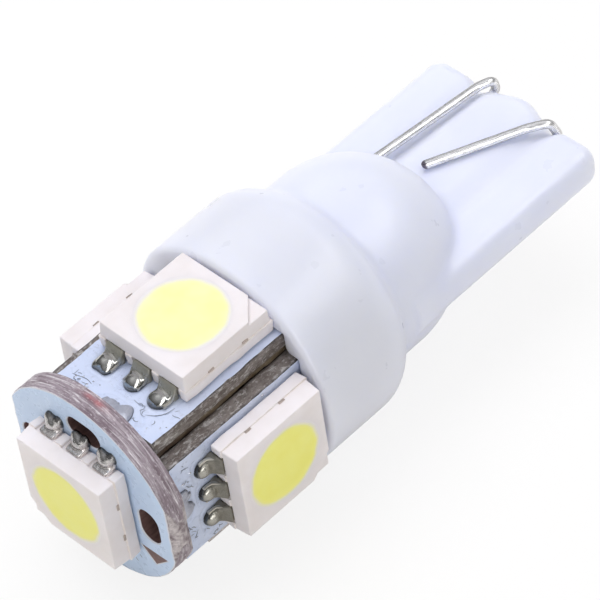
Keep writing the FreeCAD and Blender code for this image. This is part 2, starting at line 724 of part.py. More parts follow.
# ---------------------------------------------------------------------------
# solder joints between the side boards and the front board: one along each board's front end
# ---------------------------------------------------------------------------
joint_bodies = []
JOINT_AT = {"top": 0.50, "right": -0.35, "bottom": 0.30, "left": -0.20}
for side in ("top", "right", "bottom", "left"):
    j = doc.addObject("Part::Ellipsoid", side + "_joint")
    j.Radius1 = VAL["joint_r"]
    j.Radius2 = VAL["joint_reach"]
    j.Radius3 = VAL["joint_l"] / 2
    j.setExpression("Radius1", "dims.joint_r")
    j.setExpression("Radius2", "dims.joint_reach")
    j.setExpression("Radius3", "dims.joint_l / 2")
    j.Angle1 = 0
    j.Angle2 = 90
    j.Angle3 = 360
    # its own X is the bulb's axis, its own Z points out of the board
    shift = TURNS[side].multVec(FreeCAD.Vector(0, JOINT_AT[side], 0))
    y, z = FACE[side]
    place(j, ROW_X + D("board_front"), y + shift.y, z + shift.z, TURNS[side])
    joint_bodies.append(j)
joint_group = doc.addObject("Part::Compound", "joint_group")
joint_group.Links = joint_bodies
trim = doc.addObject("Part::Box", "joint_trim")
trim.Length, trim.Width, trim.Height = 4.0, 16.0, 16.0
place(trim, ROW_X + D("board_front"), const(-8.0), AXIS_Z - 8.0)
doc.recompute()
joints = doc.addObject("Part::Cut", "board_joints")
joints.Label = "board_joints"
joints.Base = joint_group
joints.Tool = trim
doc.recompute()
NODES.append(joints)

# ---------------------------------------------------------------------------
# resistor in the well, its two leads, and the plain wire of the other pole
# ---------------------------------------------------------------------------
body = new_body("series_resistor")
NODES.append(body)
sk = new_sketch(body, "resistor_outline", "XZ_Plane")
L, R, Wst = D("resistor_l"), D("resistor_r"), D("resistor_waist")
profile(sk, [
    (ZERO, ZERO), (ZERO, R - 0.25), (const(0.25), R), (const(0.75), R), (const(1.05), Wst),
    (L - 1.05, Wst), (L - 0.75, R), (L - 0.25, R), (L, R - 0.25), (L, ZERO),
])
doc.recompute()
revolve(body, "resistor_turned", sk)
place(body, ROW_X + D("resistor_x"), D("resistor_y"), AXIS_Z)


def bent_wire(label, points, bends, radius):
    """A round wire along straight runs joined by arcs. Its path bends out of any one plane,
    so the shape is made from the sheet's way points and then placed like the other pieces."""
    P = [FreeCAD.Vector(*[float(sheet.get("%s_%d_%s" % (points, i, a))) for a in "xyz"]) for i in range(len(WAYS[points]))]
    edges = []
    start = P[0]
    for i in range(1, len(P) - 1):
        u = (P[i - 1] - P[i]).normalize()
        v = (P[i + 1] - P[i]).normalize()
        ang = u.getAngle(v)
        turn = math.pi - ang
        r = bends[i - 1]
        cutb = r * math.tan(turn / 2)
        a = P[i] + u * cutb
        b = P[i] + v * cutb
        bis = (u + v).normalize()
        centre = P[i] + bis * (r / math.cos(turn / 2))
        mid = centre - bis * r
        edges.append(Part.LineSegment(start, a).toShape())
        edges.append(Part.Arc(a, mid, b).toShape())
        start = b
    edges.append(Part.LineSegment(start, P[-1]).toShape())
    spine = Part.Wire(edges)
    d0 = (P[1] - P[0]).normalize()
    ring = Part.Wire([Part.Circle(P[0], d0, radius).toShape()])
    shape = spine.makePipeShell([ring], True, False, 2)
    if shape.Volume < 0:
        shape.reverse()
    want = math.pi * radius ** 2 * spine.Length
    if abs(shape.Volume - want) > 0.03 * want:
        raise RuntimeError("%s volume %.3f, wanted %.3f" % (label, shape.Volume, want))
    f = doc.addObject("Part::Feature", label)
    f.Label = label
    f.Shape = shape
    place(f, ROW_X, ZERO, AXIS_Z)
    NODES.append(f)
    return f


wr = float(sheet.get("wire_r"))

# the resistor's rear lead: through the blade, over its end and back above the left groove
bent_wire("left_contact_wire", "left_wire", [0.22, 0.30, 0.30, 0.80], wr)

# the other pole: from the right board through the blade, over its end and across the middle rib
bent_wire("right_contact_wire", "right_wire", [1.6, 2.2, 0.20, 0.28, 0.36, 1.6], wr)

# the resistor's front lead, to the left board's inner face
bent_wire("resistor_lead", "lead_wire", [0.5, 0.5], wr)

# solder at the wires' inner ends, against the boards' inner faces
ends = []
for label, way, last, y, turn_deg in (
        ("left_end", "lead_wire", 3, -(D("left_face") - D("board_t")), -90),
        ("right_end", "right_wire", 0, D("right_face") - D("board_t"), 90)):
    b = doc.addObject("Part::Ellipsoid", label)
    b.Radius1 = 0.64
    b.Radius2 = 0.72
    b.Radius3 = 0.60
    b.Angle1 = 0
    b.Angle2 = 90
    b.Angle3 = 360
    place(b, ROW_X + D("%s_%d_x" % (way, last)), y, AXIS_Z + D("%s_%d_z" % (way, last)),
          FreeCAD.Rotation(FreeCAD.Vector(1, 0, 0), turn_deg))
    ends.append(b)
end_group = doc.addObject("Part::Compound", "wire_end_group")
end_group.Links = ends
wires = doc.addObject("Part::Compound", "wire_end_tools")
wires.Links = [doc.getObject("resistor_lead"), doc.getObject("right_contact_wire")]
doc.recompute()
wire_solder = doc.addObject("Part::Cut", "wire_solder")
wire_solder.Label = "wire_solder"
wire_solder.Base = end_group
wire_solder.Tool = wires
doc.recompute()
NODES.append(wire_solder)

# ---------------------------------------------------------------------------
# checks and export
# ---------------------------------------------------------------------------
doc.recompute()
bad = []
for o in doc.Objects:
    state = [s for s in o.State if s in ("Invalid", "Error")]
    if state:
        bad.append("%s: %s" % (o.Name, state))
for o in NODES:
    if o.Shape.isNull() or not o.Shape.isValid():
        bad.append("%s: null or invalid shape" % o.Label)
    if not o.Shape.Solids:
        bad.append("%s: no solid" % o.Label)
if bad:
    raise RuntimeError("; ".join(bad))

os.makedirs("parts", exist_ok=True)
box = None
for o in NODES:
    o.Shape.exportStep("parts/%s.step" % o.Label)
    b = o.Shape.optimalBoundingBox(False, False)
    print("%-22s solids %d volume %9.4f  x %8.3f %8.3f  y %7.3f %7.3f  z %7.3f %7.3f" % (
        o.Label, len(o.Shape.Solids), o.Shape.Volume, b.XMin, b.XMax, b.YMin, b.YMax, b.ZMin, b.ZMax))
    if box is None:
        box = FreeCAD.BoundBox(b)
    else:
        box.add(b)
print("nodes", len(NODES))
print("box x %.3f %.3f  y %.3f %.3f  z %.3f %.3f" % (box.XMin, box.XMax, box.YMin, box.YMax, box.ZMin, box.ZMax))
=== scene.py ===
import math

import bpy
import bmesh
import numpy as np
from mathutils import Matrix, Vector
from mathutils.geometry import delaunay_2d_cdt


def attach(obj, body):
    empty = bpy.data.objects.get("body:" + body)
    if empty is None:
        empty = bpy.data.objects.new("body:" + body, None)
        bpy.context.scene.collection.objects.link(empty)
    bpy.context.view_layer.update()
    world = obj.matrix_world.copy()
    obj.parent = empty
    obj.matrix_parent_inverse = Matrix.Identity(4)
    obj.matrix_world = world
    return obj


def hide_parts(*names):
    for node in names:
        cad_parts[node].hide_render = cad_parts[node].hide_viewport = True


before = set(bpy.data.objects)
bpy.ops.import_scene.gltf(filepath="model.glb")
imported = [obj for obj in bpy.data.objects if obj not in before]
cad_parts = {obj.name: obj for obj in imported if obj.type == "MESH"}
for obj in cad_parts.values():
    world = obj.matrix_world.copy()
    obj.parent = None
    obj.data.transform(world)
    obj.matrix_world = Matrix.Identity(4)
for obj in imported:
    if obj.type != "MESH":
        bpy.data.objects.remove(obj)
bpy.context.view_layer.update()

MM = 0.001
ROW_X, AXIS_Z = 6.685, 5.63

# ---------------------------------------------------------------------------
# smooth value noise, the same on every run
# ---------------------------------------------------------------------------


def _lattice(ix, iy, iz, seed):
    h = (ix * 374761393 + iy * 668265263 + iz * 2147483647 + seed * 1274126177) & 0xFFFFFFFF
    h = ((h ^ (h >> 13)) * 1274126177) & 0xFFFFFFFF
    h = h ^ (h >> 16)
    return (h & 0xFFFF) / 32767.5 - 1.0


def noise(x, y, z=0.0, seed=0):
    x, y, z = np.broadcast_arrays(np.asarray(x, float), np.asarray(y, float), np.asarray(z, float))
    ix, iy, iz = (np.floor(a).astype(np.int64) for a in (x, y, z))
    fx, fy, fz = x - ix, y - iy, z - iz
    fx, fy, fz = (a * a * a * (a * (a * 6 - 15) + 10) for a in (fx, fy, fz))
    out = 0.0
    for dx in (0, 1):
        for dy in (0, 1):
            for dz in (0, 1):
                w = (fx if dx else 1 - fx) * (fy if dy else 1 - fy) * (fz if dz else 1 - fz)
                out = out + w * _lattice(ix + dx, iy + dy, iz + dz, seed)
    return out


def fbm(x, y, z=0.0, seed=0, octaves=3):
    out, amp, k, total = 0.0, 1.0, 1.0, 0.0
    for o in range(octaves):
        out = out + amp * noise(np.asarray(x) * k, np.asarray(y) * k, np.asarray(z) * k, seed + o * 17)
        total += amp
        amp *= 0.5
        k *= 2.03
    return out / total


# ---------------------------------------------------------------------------
# shapes as distance functions, in millimetres
# ---------------------------------------------------------------------------


def rmax(r, *ds):
    """Common part of solids, its outer edges rounded by r."""
    ds = np.stack(np.broadcast_arrays(*ds))
    m = ds.max(0)
    u = np.maximum(ds + r, 0)
    return np.minimum(m, -r) + np.sqrt((u * u).sum(0))


def rmin(r, *ds):
    """Solids joined with a fillet of radius r in the corner between them."""
    return -rmax(r, *[-d for d in ds])


def smin(k, a, b):
    h = np.maximum(k - np.abs(a - b), 0) / k
    return np.minimum(a, b) - h * h * k * 0.25


def smax(k, a, b):
    return -smin(k, -a, -b)


def step(e0, e1, x):
    t = np.clip((x - e0) / (e1 - e0), 0, 1)
    return t * t * (3 - 2 * t)


def box2(x, y, cx, cy, hx, hy, r=0.0):
    """Distance to a rounded rectangle."""
    qx, qy = np.abs(x - cx) - (hx - r), np.abs(y - cy) - (hy - r)
    return np.hypot(np.maximum(qx, 0), np.maximum(qy, 0)) + np.minimum(np.maximum(qx, qy), 0) - r


def segment2(x, y, ax, ay, bx, by):
    """Distance to a line from a to b."""
    dx, dy = bx - ax, by - ay
    t = np.clip(((x - ax) * dx + (y - ay) * dy) / (dx * dx + dy * dy), 0, 1)
    return np.hypot(x - ax - t * dx, y - ay - t * dy)


def manifold(quads):
    """Whether every edge is shared by just two faces."""
    q = np.asarray(quads)
    e = np.sort(np.stack([q.ravel(), np.roll(q, -1, 1).ravel()], 1), 1)
    _, c = np.unique(e, axis=0, return_counts=True)
    return bool((c == 2).all())


def skin(f, lo, hi, h, relax=2):
    """The zero level of f as a closed mesh of quads, on a grid that is shifted a little if two sheets meet in an edge."""
    for k in range(9):
        shift = 0.137 * h * k
        pts, quads = net(f, [np.arange(a - shift, b + h, h) for a, b in zip(lo, hi)], h, relax)
        if manifold(quads):
            break
    return pts, quads


def net(f, ax, h, relax):
    """The same on three sets of grid lines; h is about their spacing where the shape is fine."""
    n = np.array([len(a) for a in ax])
    X, Y, Z = np.meshgrid(*ax, indexing="ij")
    V = f(X, Y, Z)
    V = np.where(np.abs(V) < 1e-9, 1e-9, V)
    inside = V < 0
    m = n - 1
    count = np.zeros(m, np.int8)
    for i in (0, 1):
        for j in (0, 1):
            for k in (0, 1):
                count += inside[i:m[0] + i, j:m[1] + j, k:m[2] + k]
    act = (count > 0) & (count < 8)
    index = np.full(m, -1, np.int64)
    cells = np.argwhere(act)
    index[act] = np.arange(len(cells))
    pos = np.zeros((len(cells), 3))
    hits = np.zeros(len(cells))
    for axis in range(3):
        o1, o2 = [a for a in range(3) if a != axis]
        for i in (0, 1):
            for j in (0, 1):
                a = np.zeros(3, int)
                a[o1], a[o2] = i, j
                b = a.copy()
                b[axis] = 1
                ca, cb = cells + a, cells + b
                va, vb = V[ca[:, 0], ca[:, 1], ca[:, 2]], V[cb[:, 0], cb[:, 1], cb[:, 2]]
                cross = (va < 0) != (vb < 0)
                t = np.where(cross, va / np.where(cross, va - vb, 1), 0)
                p = a + t[:, None] * (b - a)
                pos[cross] += p[cross]
                hits[cross] += 1
    where = cells + pos / hits[:, None]
    pts = np.stack([np.interp(where[:, i], np.arange(n[i]), ax[i]) for i in range(3)], 1)
    quads = []
    for axis in range(3):
        a, b = (axis + 1) % 3, (axis + 2) % 3
        s0 = [slice(None)] * 3
        s1 = [slice(None)] * 3
        s0[axis], s1[axis] = slice(0, -1), slice(1, None)
        s0[a] = s1[a] = slice(1, -1)
        s0[b] = s1[b] = slice(1, -1)
        i0, i1 = inside[tuple(s0)], inside[tuple(s1)]
        where = np.argwhere(i0 != i1)
        out = i0[where[:, 0], where[:, 1], where[:, 2]]
        where[:, a] += 1
        where[:, b] += 1
        q = []
        for da, db in ((-1, -1), (0, -1), (0, 0), (-1, 0)):
            c = where.copy()
            c[:, a] += da
            c[:, b] += db
            q.append(index[c[:, 0], c[:, 1], c[:, 2]])
        q = np.stack(q, 1)
        q[~out] = q[~out][:, ::-1]
        quads.append(q)
    quads = np.concatenate(quads)
    e = np.concatenate([quads[:, [i, (i + 1) % 4]] for i in range(4)])
    e = np.unique(np.sort(e, 1), axis=0)
    deg = np.bincount(e.ravel(), minlength=len(pts)).astype(float)

    def settle(p, steps=2):
        eps = h * 0.05
        for _ in range(steps):
            d = f(p[:, 0], p[:, 1], p[:, 2])
            g = np.stack([
                f(p[:, 0] + eps, p[:, 1], p[:, 2]) - f(p[:, 0] - eps, p[:, 1], p[:, 2]),
                f(p[:, 0], p[:, 1] + eps, p[:, 2]) - f(p[:, 0], p[:, 1] - eps, p[:, 2]),
                f(p[:, 0], p[:, 1], p[:, 2] + eps) - f(p[:, 0], p[:, 1], p[:, 2] - eps)], 1) / (2 * eps)
            move = g * (d / np.maximum((g * g).sum(1), 0.1))[:, None]
            size = np.linalg.norm(move, axis=1)
            move *= np.minimum(1, 0.5 * h / np.maximum(size, 1e-12))[:, None]
            p = p - move
        return p

    pts = settle(pts)
    for _ in range(relax):
        mean = np.stack([np.bincount(e[:, 0], pts[e[:, 1], i], len(pts)) + np.bincount(e[:, 1], pts[e[:, 0], i], len(pts))
                         for i in range(3)], 1) / deg[:, None]
        pts = settle(pts + 0.5 * (mean - pts))
    return pts, quads


# ---------------------------------------------------------------------------
# meshes and pieces
# ---------------------------------------------------------------------------


def joined(parts):
    """Several (points, faces) sets as one."""
    pts, faces, at = [], [], 0
    for p, f in parts:
        pts.append(np.asarray(p, float))
        faces.extend([[i + at for i in q] for q in (f.tolist() if hasattr(f, "tolist") else f)])
        at += len(p)
    return np.concatenate(pts), faces


def piece(name, pts, faces, materials, at=None, replaces=(), sharp=None, attributes=None, face_material=None, turn_out=False):
    """A mesh in its own frame, in millimetres, put where at says and riding on the bulb."""
    me = bpy.data.meshes.new(name)
    faces = faces.tolist() if hasattr(faces, "tolist") else faces
    me.from_pydata((np.asarray(pts, float) * MM).tolist(), [], faces)
    me.validate(clean_customdata=False)
    me.update()
    if turn_out:
        bm = bmesh.new()
        bm.from_mesh(me)
        bmesh.ops.recalc_face_normals(bm, faces=bm.faces)
        bm.to_mesh(me)
        bm.free()
        me.update()
    for m in materials:
        me.materials.append(m)
    if face_material is not None:
        me.polygons.foreach_set("material_index", np.asarray(face_material, np.int32))
    me.shade_smooth()
    if sharp is not None:
        me.set_sharp_from_angle(angle=math.radians(sharp))
    for key, value in (attributes or {}).items():
        value = np.asarray(value, np.float32)
        kind = "FLOAT" if value.ndim == 1 else "FLOAT_VECTOR"
        a = me.attributes.new(key, kind, "POINT")
        a.data.foreach_set("value" if kind == "FLOAT" else "vector", value.ravel())
    o = bpy.data.objects.new(name, me)
    bpy.context.scene.collection.objects.link(o)
    if at is not None:
        o.matrix_world = at
    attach(o, "root")
    if replaces:
        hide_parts(*replaces)
    return o


def frame_at(x, y, z, cols=((1, 0, 0), (0, 1, 0), (0, 0, 1))):
    """A place in the row frame: the piece's own axes as columns, its origin in millimetres."""
    m = Matrix(((cols[0][0], cols[1][0], cols[2][0], x * MM),
                (cols[0][1], cols[1][1], cols[2][1], y * MM),
                (cols[0][2], cols[1][2], cols[2][2], z * MM),
                (0, 0, 0, 1)))
    return m


TURN = {
    "top": ((1, 0, 0), (0, 1, 0), (0, 0, 1)),
    "right": ((1, 0, 0), (0, 0, -1), (0, 1, 0)),
    "bottom": ((1, 0, 0), (0, -1, 0), (0, 0, -1)),
    "left": ((1, 0, 0), (0, 0, 1), (0, -1, 0)),
    "front": ((0, 0, 1), (0, -1, 0), (1, 0, 0)),
}
FACE = {
    "top": (ROW_X, 0.40, AXIS_Z + 3.80),
    "right": (ROW_X, 4.00, AXIS_Z - 0.20),
    "bottom": (ROW_X, 0.0, AXIS_Z - 4.13),
    "left": (ROW_X, -3.55, AXIS_Z - 0.24),
    "front": (ROW_X + 5.93, 0.09, AXIS_Z),
}
PACK = dict(FACE)
PACK["right"] = (ROW_X + 0.15, 4.00, AXIS_Z - 0.20)
SIDES = ("top", "right", "bottom", "left", "front")

# ---------------------------------------------------------------------------
# materials
# ---------------------------------------------------------------------------


class Nodes:
    """A material's node tree."""

    def __init__(self, name):
        self.material = bpy.data.materials.new(name)
        self.material.use_nodes = True
        self.tree = self.material.node_tree
        self.tree.nodes.clear()
        self.out = self.node("ShaderNodeOutputMaterial")
        self.bsdf = self.node("ShaderNodeBsdfPrincipled")
        self.link(self.bsdf.outputs["BSDF"], self.out.inputs["Surface"])

    def node(self, kind, **props):
        n = self.tree.nodes.new(kind)
        for k, v in props.items():
            setattr(n, k, v)
        return n

    def link(self, a, b):
        self.tree.links.new(a, b)

    def set(self, **values):
        for k, v in values.items():
            self.bsdf.inputs[k.replace("_", " ")].default_value = v

    def coords(self, scale=(1, 1, 1), attribute=None):
        """Places on the piece in millimetres, stretched by scale."""
        if attribute:
            src = self.node("ShaderNodeAttribute", attribute_name=attribute).outputs["Vector"]
            unit = 1.0
        else:
            src = self.node("ShaderNodeTexCoord").outputs["Object"]
            unit = 1000.0
        m = self.node("ShaderNodeMapping")
        m.inputs["Scale"].default_value = [s * unit for s in scale]
        self.link(src, m.inputs["Vector"])
        return m.outputs["Vector"]

    def noise(self, vector, scale, detail=3.0, rough=0.55, distortion=0.0):
        n = self.node("ShaderNodeTexNoise")
        n.inputs["Scale"].default_value = scale
        n.inputs["Detail"].default_value = detail
        n.inputs["Roughness"].default_value = rough
        n.inputs["Distortion"].default_value = distortion
        self.link(vector, n.inputs["Vector"])
        return n.outputs["Fac"]

    def ramp(self, fac, stops, ease="LINEAR"):
        r = self.node("ShaderNodeValToRGB")
        r.color_ramp.interpolation = ease
        els = r.color_ramp.elements
        while len(els) > 1:
            els.remove(els[0])
        els[0].position, els[0].color = stops[0][0], _rgba(stops[0][1])
        for p, c in stops[1:]:
            e = els.new(p)
            e.color = _rgba(c)
        self.link(fac, r.inputs["Fac"])
        return r.outputs["Color"]

    def span(self, fac, a, b, lo=0.0, hi=1.0):
        """fac from a..b as lo..hi."""
        m = self.node("ShaderNodeMapRange")
        m.inputs["From Min"].default_value = a
        m.inputs["From Max"].default_value = b
        m.inputs["To Min"].default_value = lo
        m.inputs["To Max"].default_value = hi
        self.link(fac, m.inputs["Value"])
        return m.outputs["Result"]

    def math(self, op, a, b=None):
        m = self.node("ShaderNodeMath", operation=op)
        for i, v in enumerate((a, b)):
            if v is None:
                continue
            if isinstance(v, (int, float)):
                m.inputs[i].default_value = v
            else:
                self.link(v, m.inputs[i])
        return m.outputs["Value"]

    def mix(self, fac, a, b, mode="MIX"):
        m = self.node("ShaderNodeMix", data_type="RGBA", blend_type=mode)
        if isinstance(fac, (int, float)):
            m.inputs[0].default_value = fac
        else:
            self.link(fac, m.inputs[0])
        for i, v in ((6, a), (7, b)):
            if isinstance(v, (tuple, list)):
                m.inputs[i].default_value = _rgba(v)
            else:
                self.link(v, m.inputs[i])
        return m.outputs[2]

    def bump(self, height, distance, strength=1.0, under=None):
        b = self.node("ShaderNodeBump")
        b.inputs["Distance"].default_value = distance * MM
        b.inputs["Strength"].default_value = strength
        self.link(height, b.inputs["Height"])
        if under is not None:
            self.link(under, b.inputs["Normal"])
        return b.outputs["Normal"]

    def to(self, socket, name):
        self.link(socket, self.bsdf.inputs[name])


def _rgba(c):
    return (c[0], c[1], c[2], 1.0) if len(c) == 3 else tuple(c)


def srgb(r, g, b):
    """Display values 0..255 as linear colour."""
    return tuple((v / 255 / 12.92) if v / 255 <= 0.04045 else ((v / 255 + 0.055) / 1.055) ** 2.4 for v in (r, g, b))


def plastic_material():
    n = Nodes("base_plastic")
    p = n.coords()
    tone = n.noise(p, 0.23, 2.0, 0.5)
    col = n.mix(n.span(tone, 0.35, 0.65), srgb(229, 232, 251), srgb(233, 236, 253))
    n.to(col, "Base Color")
    n.to(n.span(n.noise(p, 0.9, 3.0), 0.3, 0.7, 0.27, 0.36), "Roughness")
    n.set(IOR=1.49, Subsurface_Weight=0.6, Subsurface_Radius=(1.0, 1.05, 1.25), Subsurface_Scale=0.0010)
    return n.material


def housing_material(seed):
    n = Nodes("led_body_%d" % seed)
    p = n.coords()
    q = n.node("ShaderNodeVectorMath", operation="ADD")
    q.inputs[1].default_value = (seed * 7.3, seed * 3.1, seed * 5.7)
    n.link(p, q.inputs[0])
    p = q.outputs["Vector"]
    tone = n.noise(p, 0.6, 3.0, 0.55)
    col = n.mix(n.span(tone, 0.35, 0.68), srgb(244, 238, 238), srgb(237, 230, 228))
    # stray dark specks
    v = n.node("ShaderNodeTexVoronoi")
    v.inputs["Scale"].default_value = 0.55
    v.inputs["Randomness"].default_value = 1.0
    n.link(p, v.inputs["Vector"])
    spot = n.span(n.math("ADD", v.outputs["Distance"], n.math("MULTIPLY", n.noise(p, 14.0, 2.0), 0.03)), 0.035, 0.028)
    col = n.mix(n.math("MULTIPLY", spot, 0.8), col, srgb(120, 104, 92))
    # darker, yellower tone low on the walls towards the board and along the parting line
    h = n.node("ShaderNodeAttribute", attribute_name="low").outputs["Fac"]
    low = n.math("MULTIPLY", h, n.span(n.noise(p, 2.4, 3.0), 0.35, 0.65, 0.35, 1.0))
    col = n.mix(low, col, srgb(222, 205, 190))
    n.to(col, "Base Color")
    n.to(n.span(n.noise(p, 1.6, 3.0), 0.3, 0.7, 0.40, 0.55), "Roughness")
    n.to(n.bump(n.noise(p, 12.0, 4.0, 0.65), 0.006, 0.6, n.bump(n.noise(p, 1.4, 3.0), 0.02, 0.35)), "Normal")
    n.set(IOR=1.52, Subsurface_Weight=0.2, Subsurface_Radius=(1.0, 0.9, 0.8), Subsurface_Scale=0.0003)
    return n.material


def lens_material(seed, a, b):
    n = Nodes("led_lens_%d" % seed)
    p = n.coords()
    r = n.node("ShaderNodeAttribute", attribute_name="rim").outputs["Fac"]
    wob = n.noise(p, 1.1 + 0.1 * seed, 3.0, 0.5)
    rr = n.math("ADD", r, n.span(wob, 0.3, 0.7, -0.045, 0.045))
    core = n.mix(n.span(n.noise(p, 0.7, 2.0), 0.35, 0.65), a, b)
    grain = n.span(n.noise(p, 30.0, 2.0, 0.7), 0.3, 0.7, 0.0, 0.08)
    core = n.mix(grain, core, tuple(v * 0.9 for v in a))
    ring = n.ramp(n.span(rr, 1.68, 1.99), [(0.0, (0, 0, 0)), (0.35, (0.10, 0.10, 0.10)), (0.75, (0.70, 0.70, 0.70)), (1.0, (1, 1, 1))], "EASE")
    col = n.mix(ring, core, srgb(242, 237, 233))
    n.to(col, "Base Color")
    n.to(n.span(n.noise(p, 2.0, 2.0), 0.3, 0.7, 0.42, 0.55), "Roughness")
    n.to(n.bump(n.noise(p, 22.0, 3.0, 0.6), 0.004, 0.5), "Normal")
    n.set(IOR=1.45, Subsurface_Weight=0.15, Subsurface_Radius=(1.0, 0.95, 0.4), Subsurface_Scale=0.0003)
    return n.material


def mask_material(name, a, b, marks=1.0):
    n = Nodes(name)
    p = n.coords()
    tone = n.noise(p, 0.5, 3.0, 0.55)
    col = n.mix(n.span(tone, 0.33, 0.68), a, b)
    # faint dirt and flux haze
    haze = n.span(n.noise(p, 1.9, 5.0, 0.65, 0.4), 0.56, 0.74, 0.0, 0.35)
    col = n.mix(n.math("MULTIPLY", haze, marks), col, srgb(150, 150, 160))
    thin = n.coords((2.4, 0.8, 1.0))
    hair = n.math("ABSOLUTE", n.math("SUBTRACT", n.noise(thin, 1.15, 4.0, 0.6, 1.2), 0.5))
    line = n.math("MULTIPLY", n.span(hair, 0.006, 0.0), n.span(n.noise(p, 0.45, 2.0), 0.54, 0.62))
    col = n.mix(n.math("MULTIPLY", line, 0.65 * marks), col, srgb(88, 90, 100))
    n.to(col, "Base Color")
    n.to(n.span(n.noise(p, 2.6, 4.0), 0.3, 0.7, 0.22, 0.42), "Roughness")
    n.to(n.bump(n.noise(p, 1.2, 2.0), 0.02 + 0.01 * marks, 0.4), "Normal")
    n.set(IOR=1.5, Coat_Weight=0.05 + 0.2 * marks, Coat_Roughness=0.2)
    return n.material


def laminate_material(name, dark, mid, pale, stretch=(0.9, 9.0, 1.0), scale=1.0):
    """Cut edge of glass-fibre board: bundles of pale fibre in resin, running along the cut."""
    n = Nodes(name)
    p = n.coords(stretch, "flow")
    q = n.coords((1, 1, 1), "flow")
    blot = n.noise(n.coords((stretch[0] * 0.55, stretch[1] * 0.45, 1.0), "flow"), 1.6 * scale, 4.0, 0.6)
    col = n.mix(n.span(blot, 0.36, 0.64), dark, mid)
    streak = n.noise(p, 1.7 * scale, 4.0, 0.7, 0.6)
    col = n.mix(n.span(streak, 0.52, 0.66, 0.0, 0.85), col, pale)
    deep = n.noise(p, 2.3 * scale, 3.0, 0.6)
    col = n.mix(n.span(deep, 0.42, 0.30, 0.0, 0.6), col, tuple(v * 0.45 for v in dark))
    ends = n.noise(n.coords((1.0, 1.9, 1.0), "flow"), 5.0 * scale, 3.0, 0.62)
    col = n.mix(n.span(ends, 0.58, 0.72, 0.0, 0.55), col, tuple(min(1.0, v * 1.15) for v in pale))
    col = n.mix(n.span(ends, 0.42, 0.32, 0.0, 0.5), col, tuple(v * 0.5 for v in dark))
    # dark chipped line where the mask ends
    lip = n.node("ShaderNodeAttribute", attribute_name="lip").outputs["Fac"]
    chipped = n.math("MULTIPLY", lip, n.span(n.noise(q, 1.9, 4.0, 0.65), 0.40, 0.52, 0.1, 1.0))
    col = n.mix(chipped, col, srgb(58, 54, 56))
    # where the edge was snapped instead of cut
    snapped = n.node("ShaderNodeAttribute", attribute_name="snapped").outputs["Fac"]
    broken = n.mix(n.span(n.noise(q, 2.6, 4.0, 0.65), 0.38, 0.62), srgb(112, 96, 100), srgb(212, 204, 203))
    col = n.mix(n.math("MULTIPLY", snapped, 0.85), col, broken)
    stain = n.node("ShaderNodeAttribute", attribute_name="stain").outputs["Fac"]
    col = n.mix(stain, col, srgb(196, 92, 92))
    n.to(col, "Base Color")
    n.to(n.span(streak, 0.4, 0.7, 0.62, 0.36), "Roughness")
    n.to(n.bump(streak, 0.025, 0.8, n.bump(n.noise(q, 5.0 * scale, 4.0, 0.65), 0.05, 0.8)), "Normal")
    n.set(IOR=1.5)
    return n.material


def resin_material():
    n = Nodes("flux_resin")
    p = n.coords((0.5, 1.0, 1.0))
    col = n.mix(n.span(n.noise(p, 1.1, 4.0, 0.6), 0.36, 0.64), srgb(74, 58, 44), srgb(122, 108, 84))
    col = n.mix(n.span(n.noise(p, 4.0, 4.0, 0.65), 0.58, 0.70, 0.0, 0.6), col, srgb(176, 168, 148))
    n.to(col, "Base Color")
    n.to(n.span(n.noise(p, 2.0, 3.0), 0.3, 0.7, 0.25, 0.5), "Roughness")
    n.to(n.bump(n.noise(p, 3.0, 4.0, 0.6), 0.03, 0.7), "Normal")
    n.set(IOR=1.52)
    return n.material


def bare_material():
    n = Nodes("bare_laminate")
    p = n.coords()
    weave = n.noise(n.coords((1.0, 5.0, 5.0)), 1.3, 3.0)
    col = n.mix(n.span(n.noise(p, 1.5, 4.0), 0.35, 0.65), srgb(92, 66, 62), srgb(120, 92, 88))
    col = n.mix(n.span(weave, 0.5, 0.7, 0.0, 0.4), col, srgb(146, 118, 110))
    n.to(col, "Base Color")
    n.to(n.span(n.noise(p, 3.0, 3.0), 0.3, 0.7, 0.45, 0.65), "Roughness")
    n.to(n.bump(weave, 0.02, 0.7), "Normal")
    n.set(IOR=1.5)
    return n.material


def metal_material(name, base, tint, rough, tint_amount=0.5, bump=0.01, scale=1.0, metal=1.0, dull=0.25):
    n = Nodes(name)
    p = n.coords()
    film = n.math("MULTIPLY", n.node("ShaderNodeAttribute", attribute_name="film").outputs["Fac"],
                  n.span(n.noise(p, 2.2 * scale, 4.0, 0.6), 0.35, 0.62, 0.72, 1.0))
    spots = n.span(n.noise(p, 3.6 * scale, 4.0, 0.65), 0.52, 0.72, 0.0, tint_amount)
    col = n.mix(spots, base, tuple(v * 0.72 for v in base))
    col = n.mix(film, col, tint)
    # painted shade: the solder darkens to near black at its foot next to the board
    low = n.node("ShaderNodeAttribute", attribute_name="low").outputs["Fac"]
    col = n.mix(low, col, tuple(v * 0.10 for v in base))
    n.to(col, "Base Color")
    r = n.span(n.noise(p, 4.0 * scale, 4.0), 0.3, 0.7, rough[0], rough[1])
    n.to(n.math("ADD", r, n.math("MULTIPLY", film, 0.25)), "Roughness")
    crust = n.math("MULTIPLY", film, n.noise(p, 7.0 * scale, 4.0, 0.65))
    smooth = n.bump(n.noise(p, 3.5 * scale, 3.0, 0.5), bump * 2.2, 0.6, n.bump(n.noise(p, 16.0 * scale, 3.0, 0.6), bump, 0.45))
    n.to(n.bump(crust, 0.09, 0.9, smooth), "Normal")
    n.to(n.span(film, 0.0, 1.0, metal, dull), "Metallic")
    return n.material


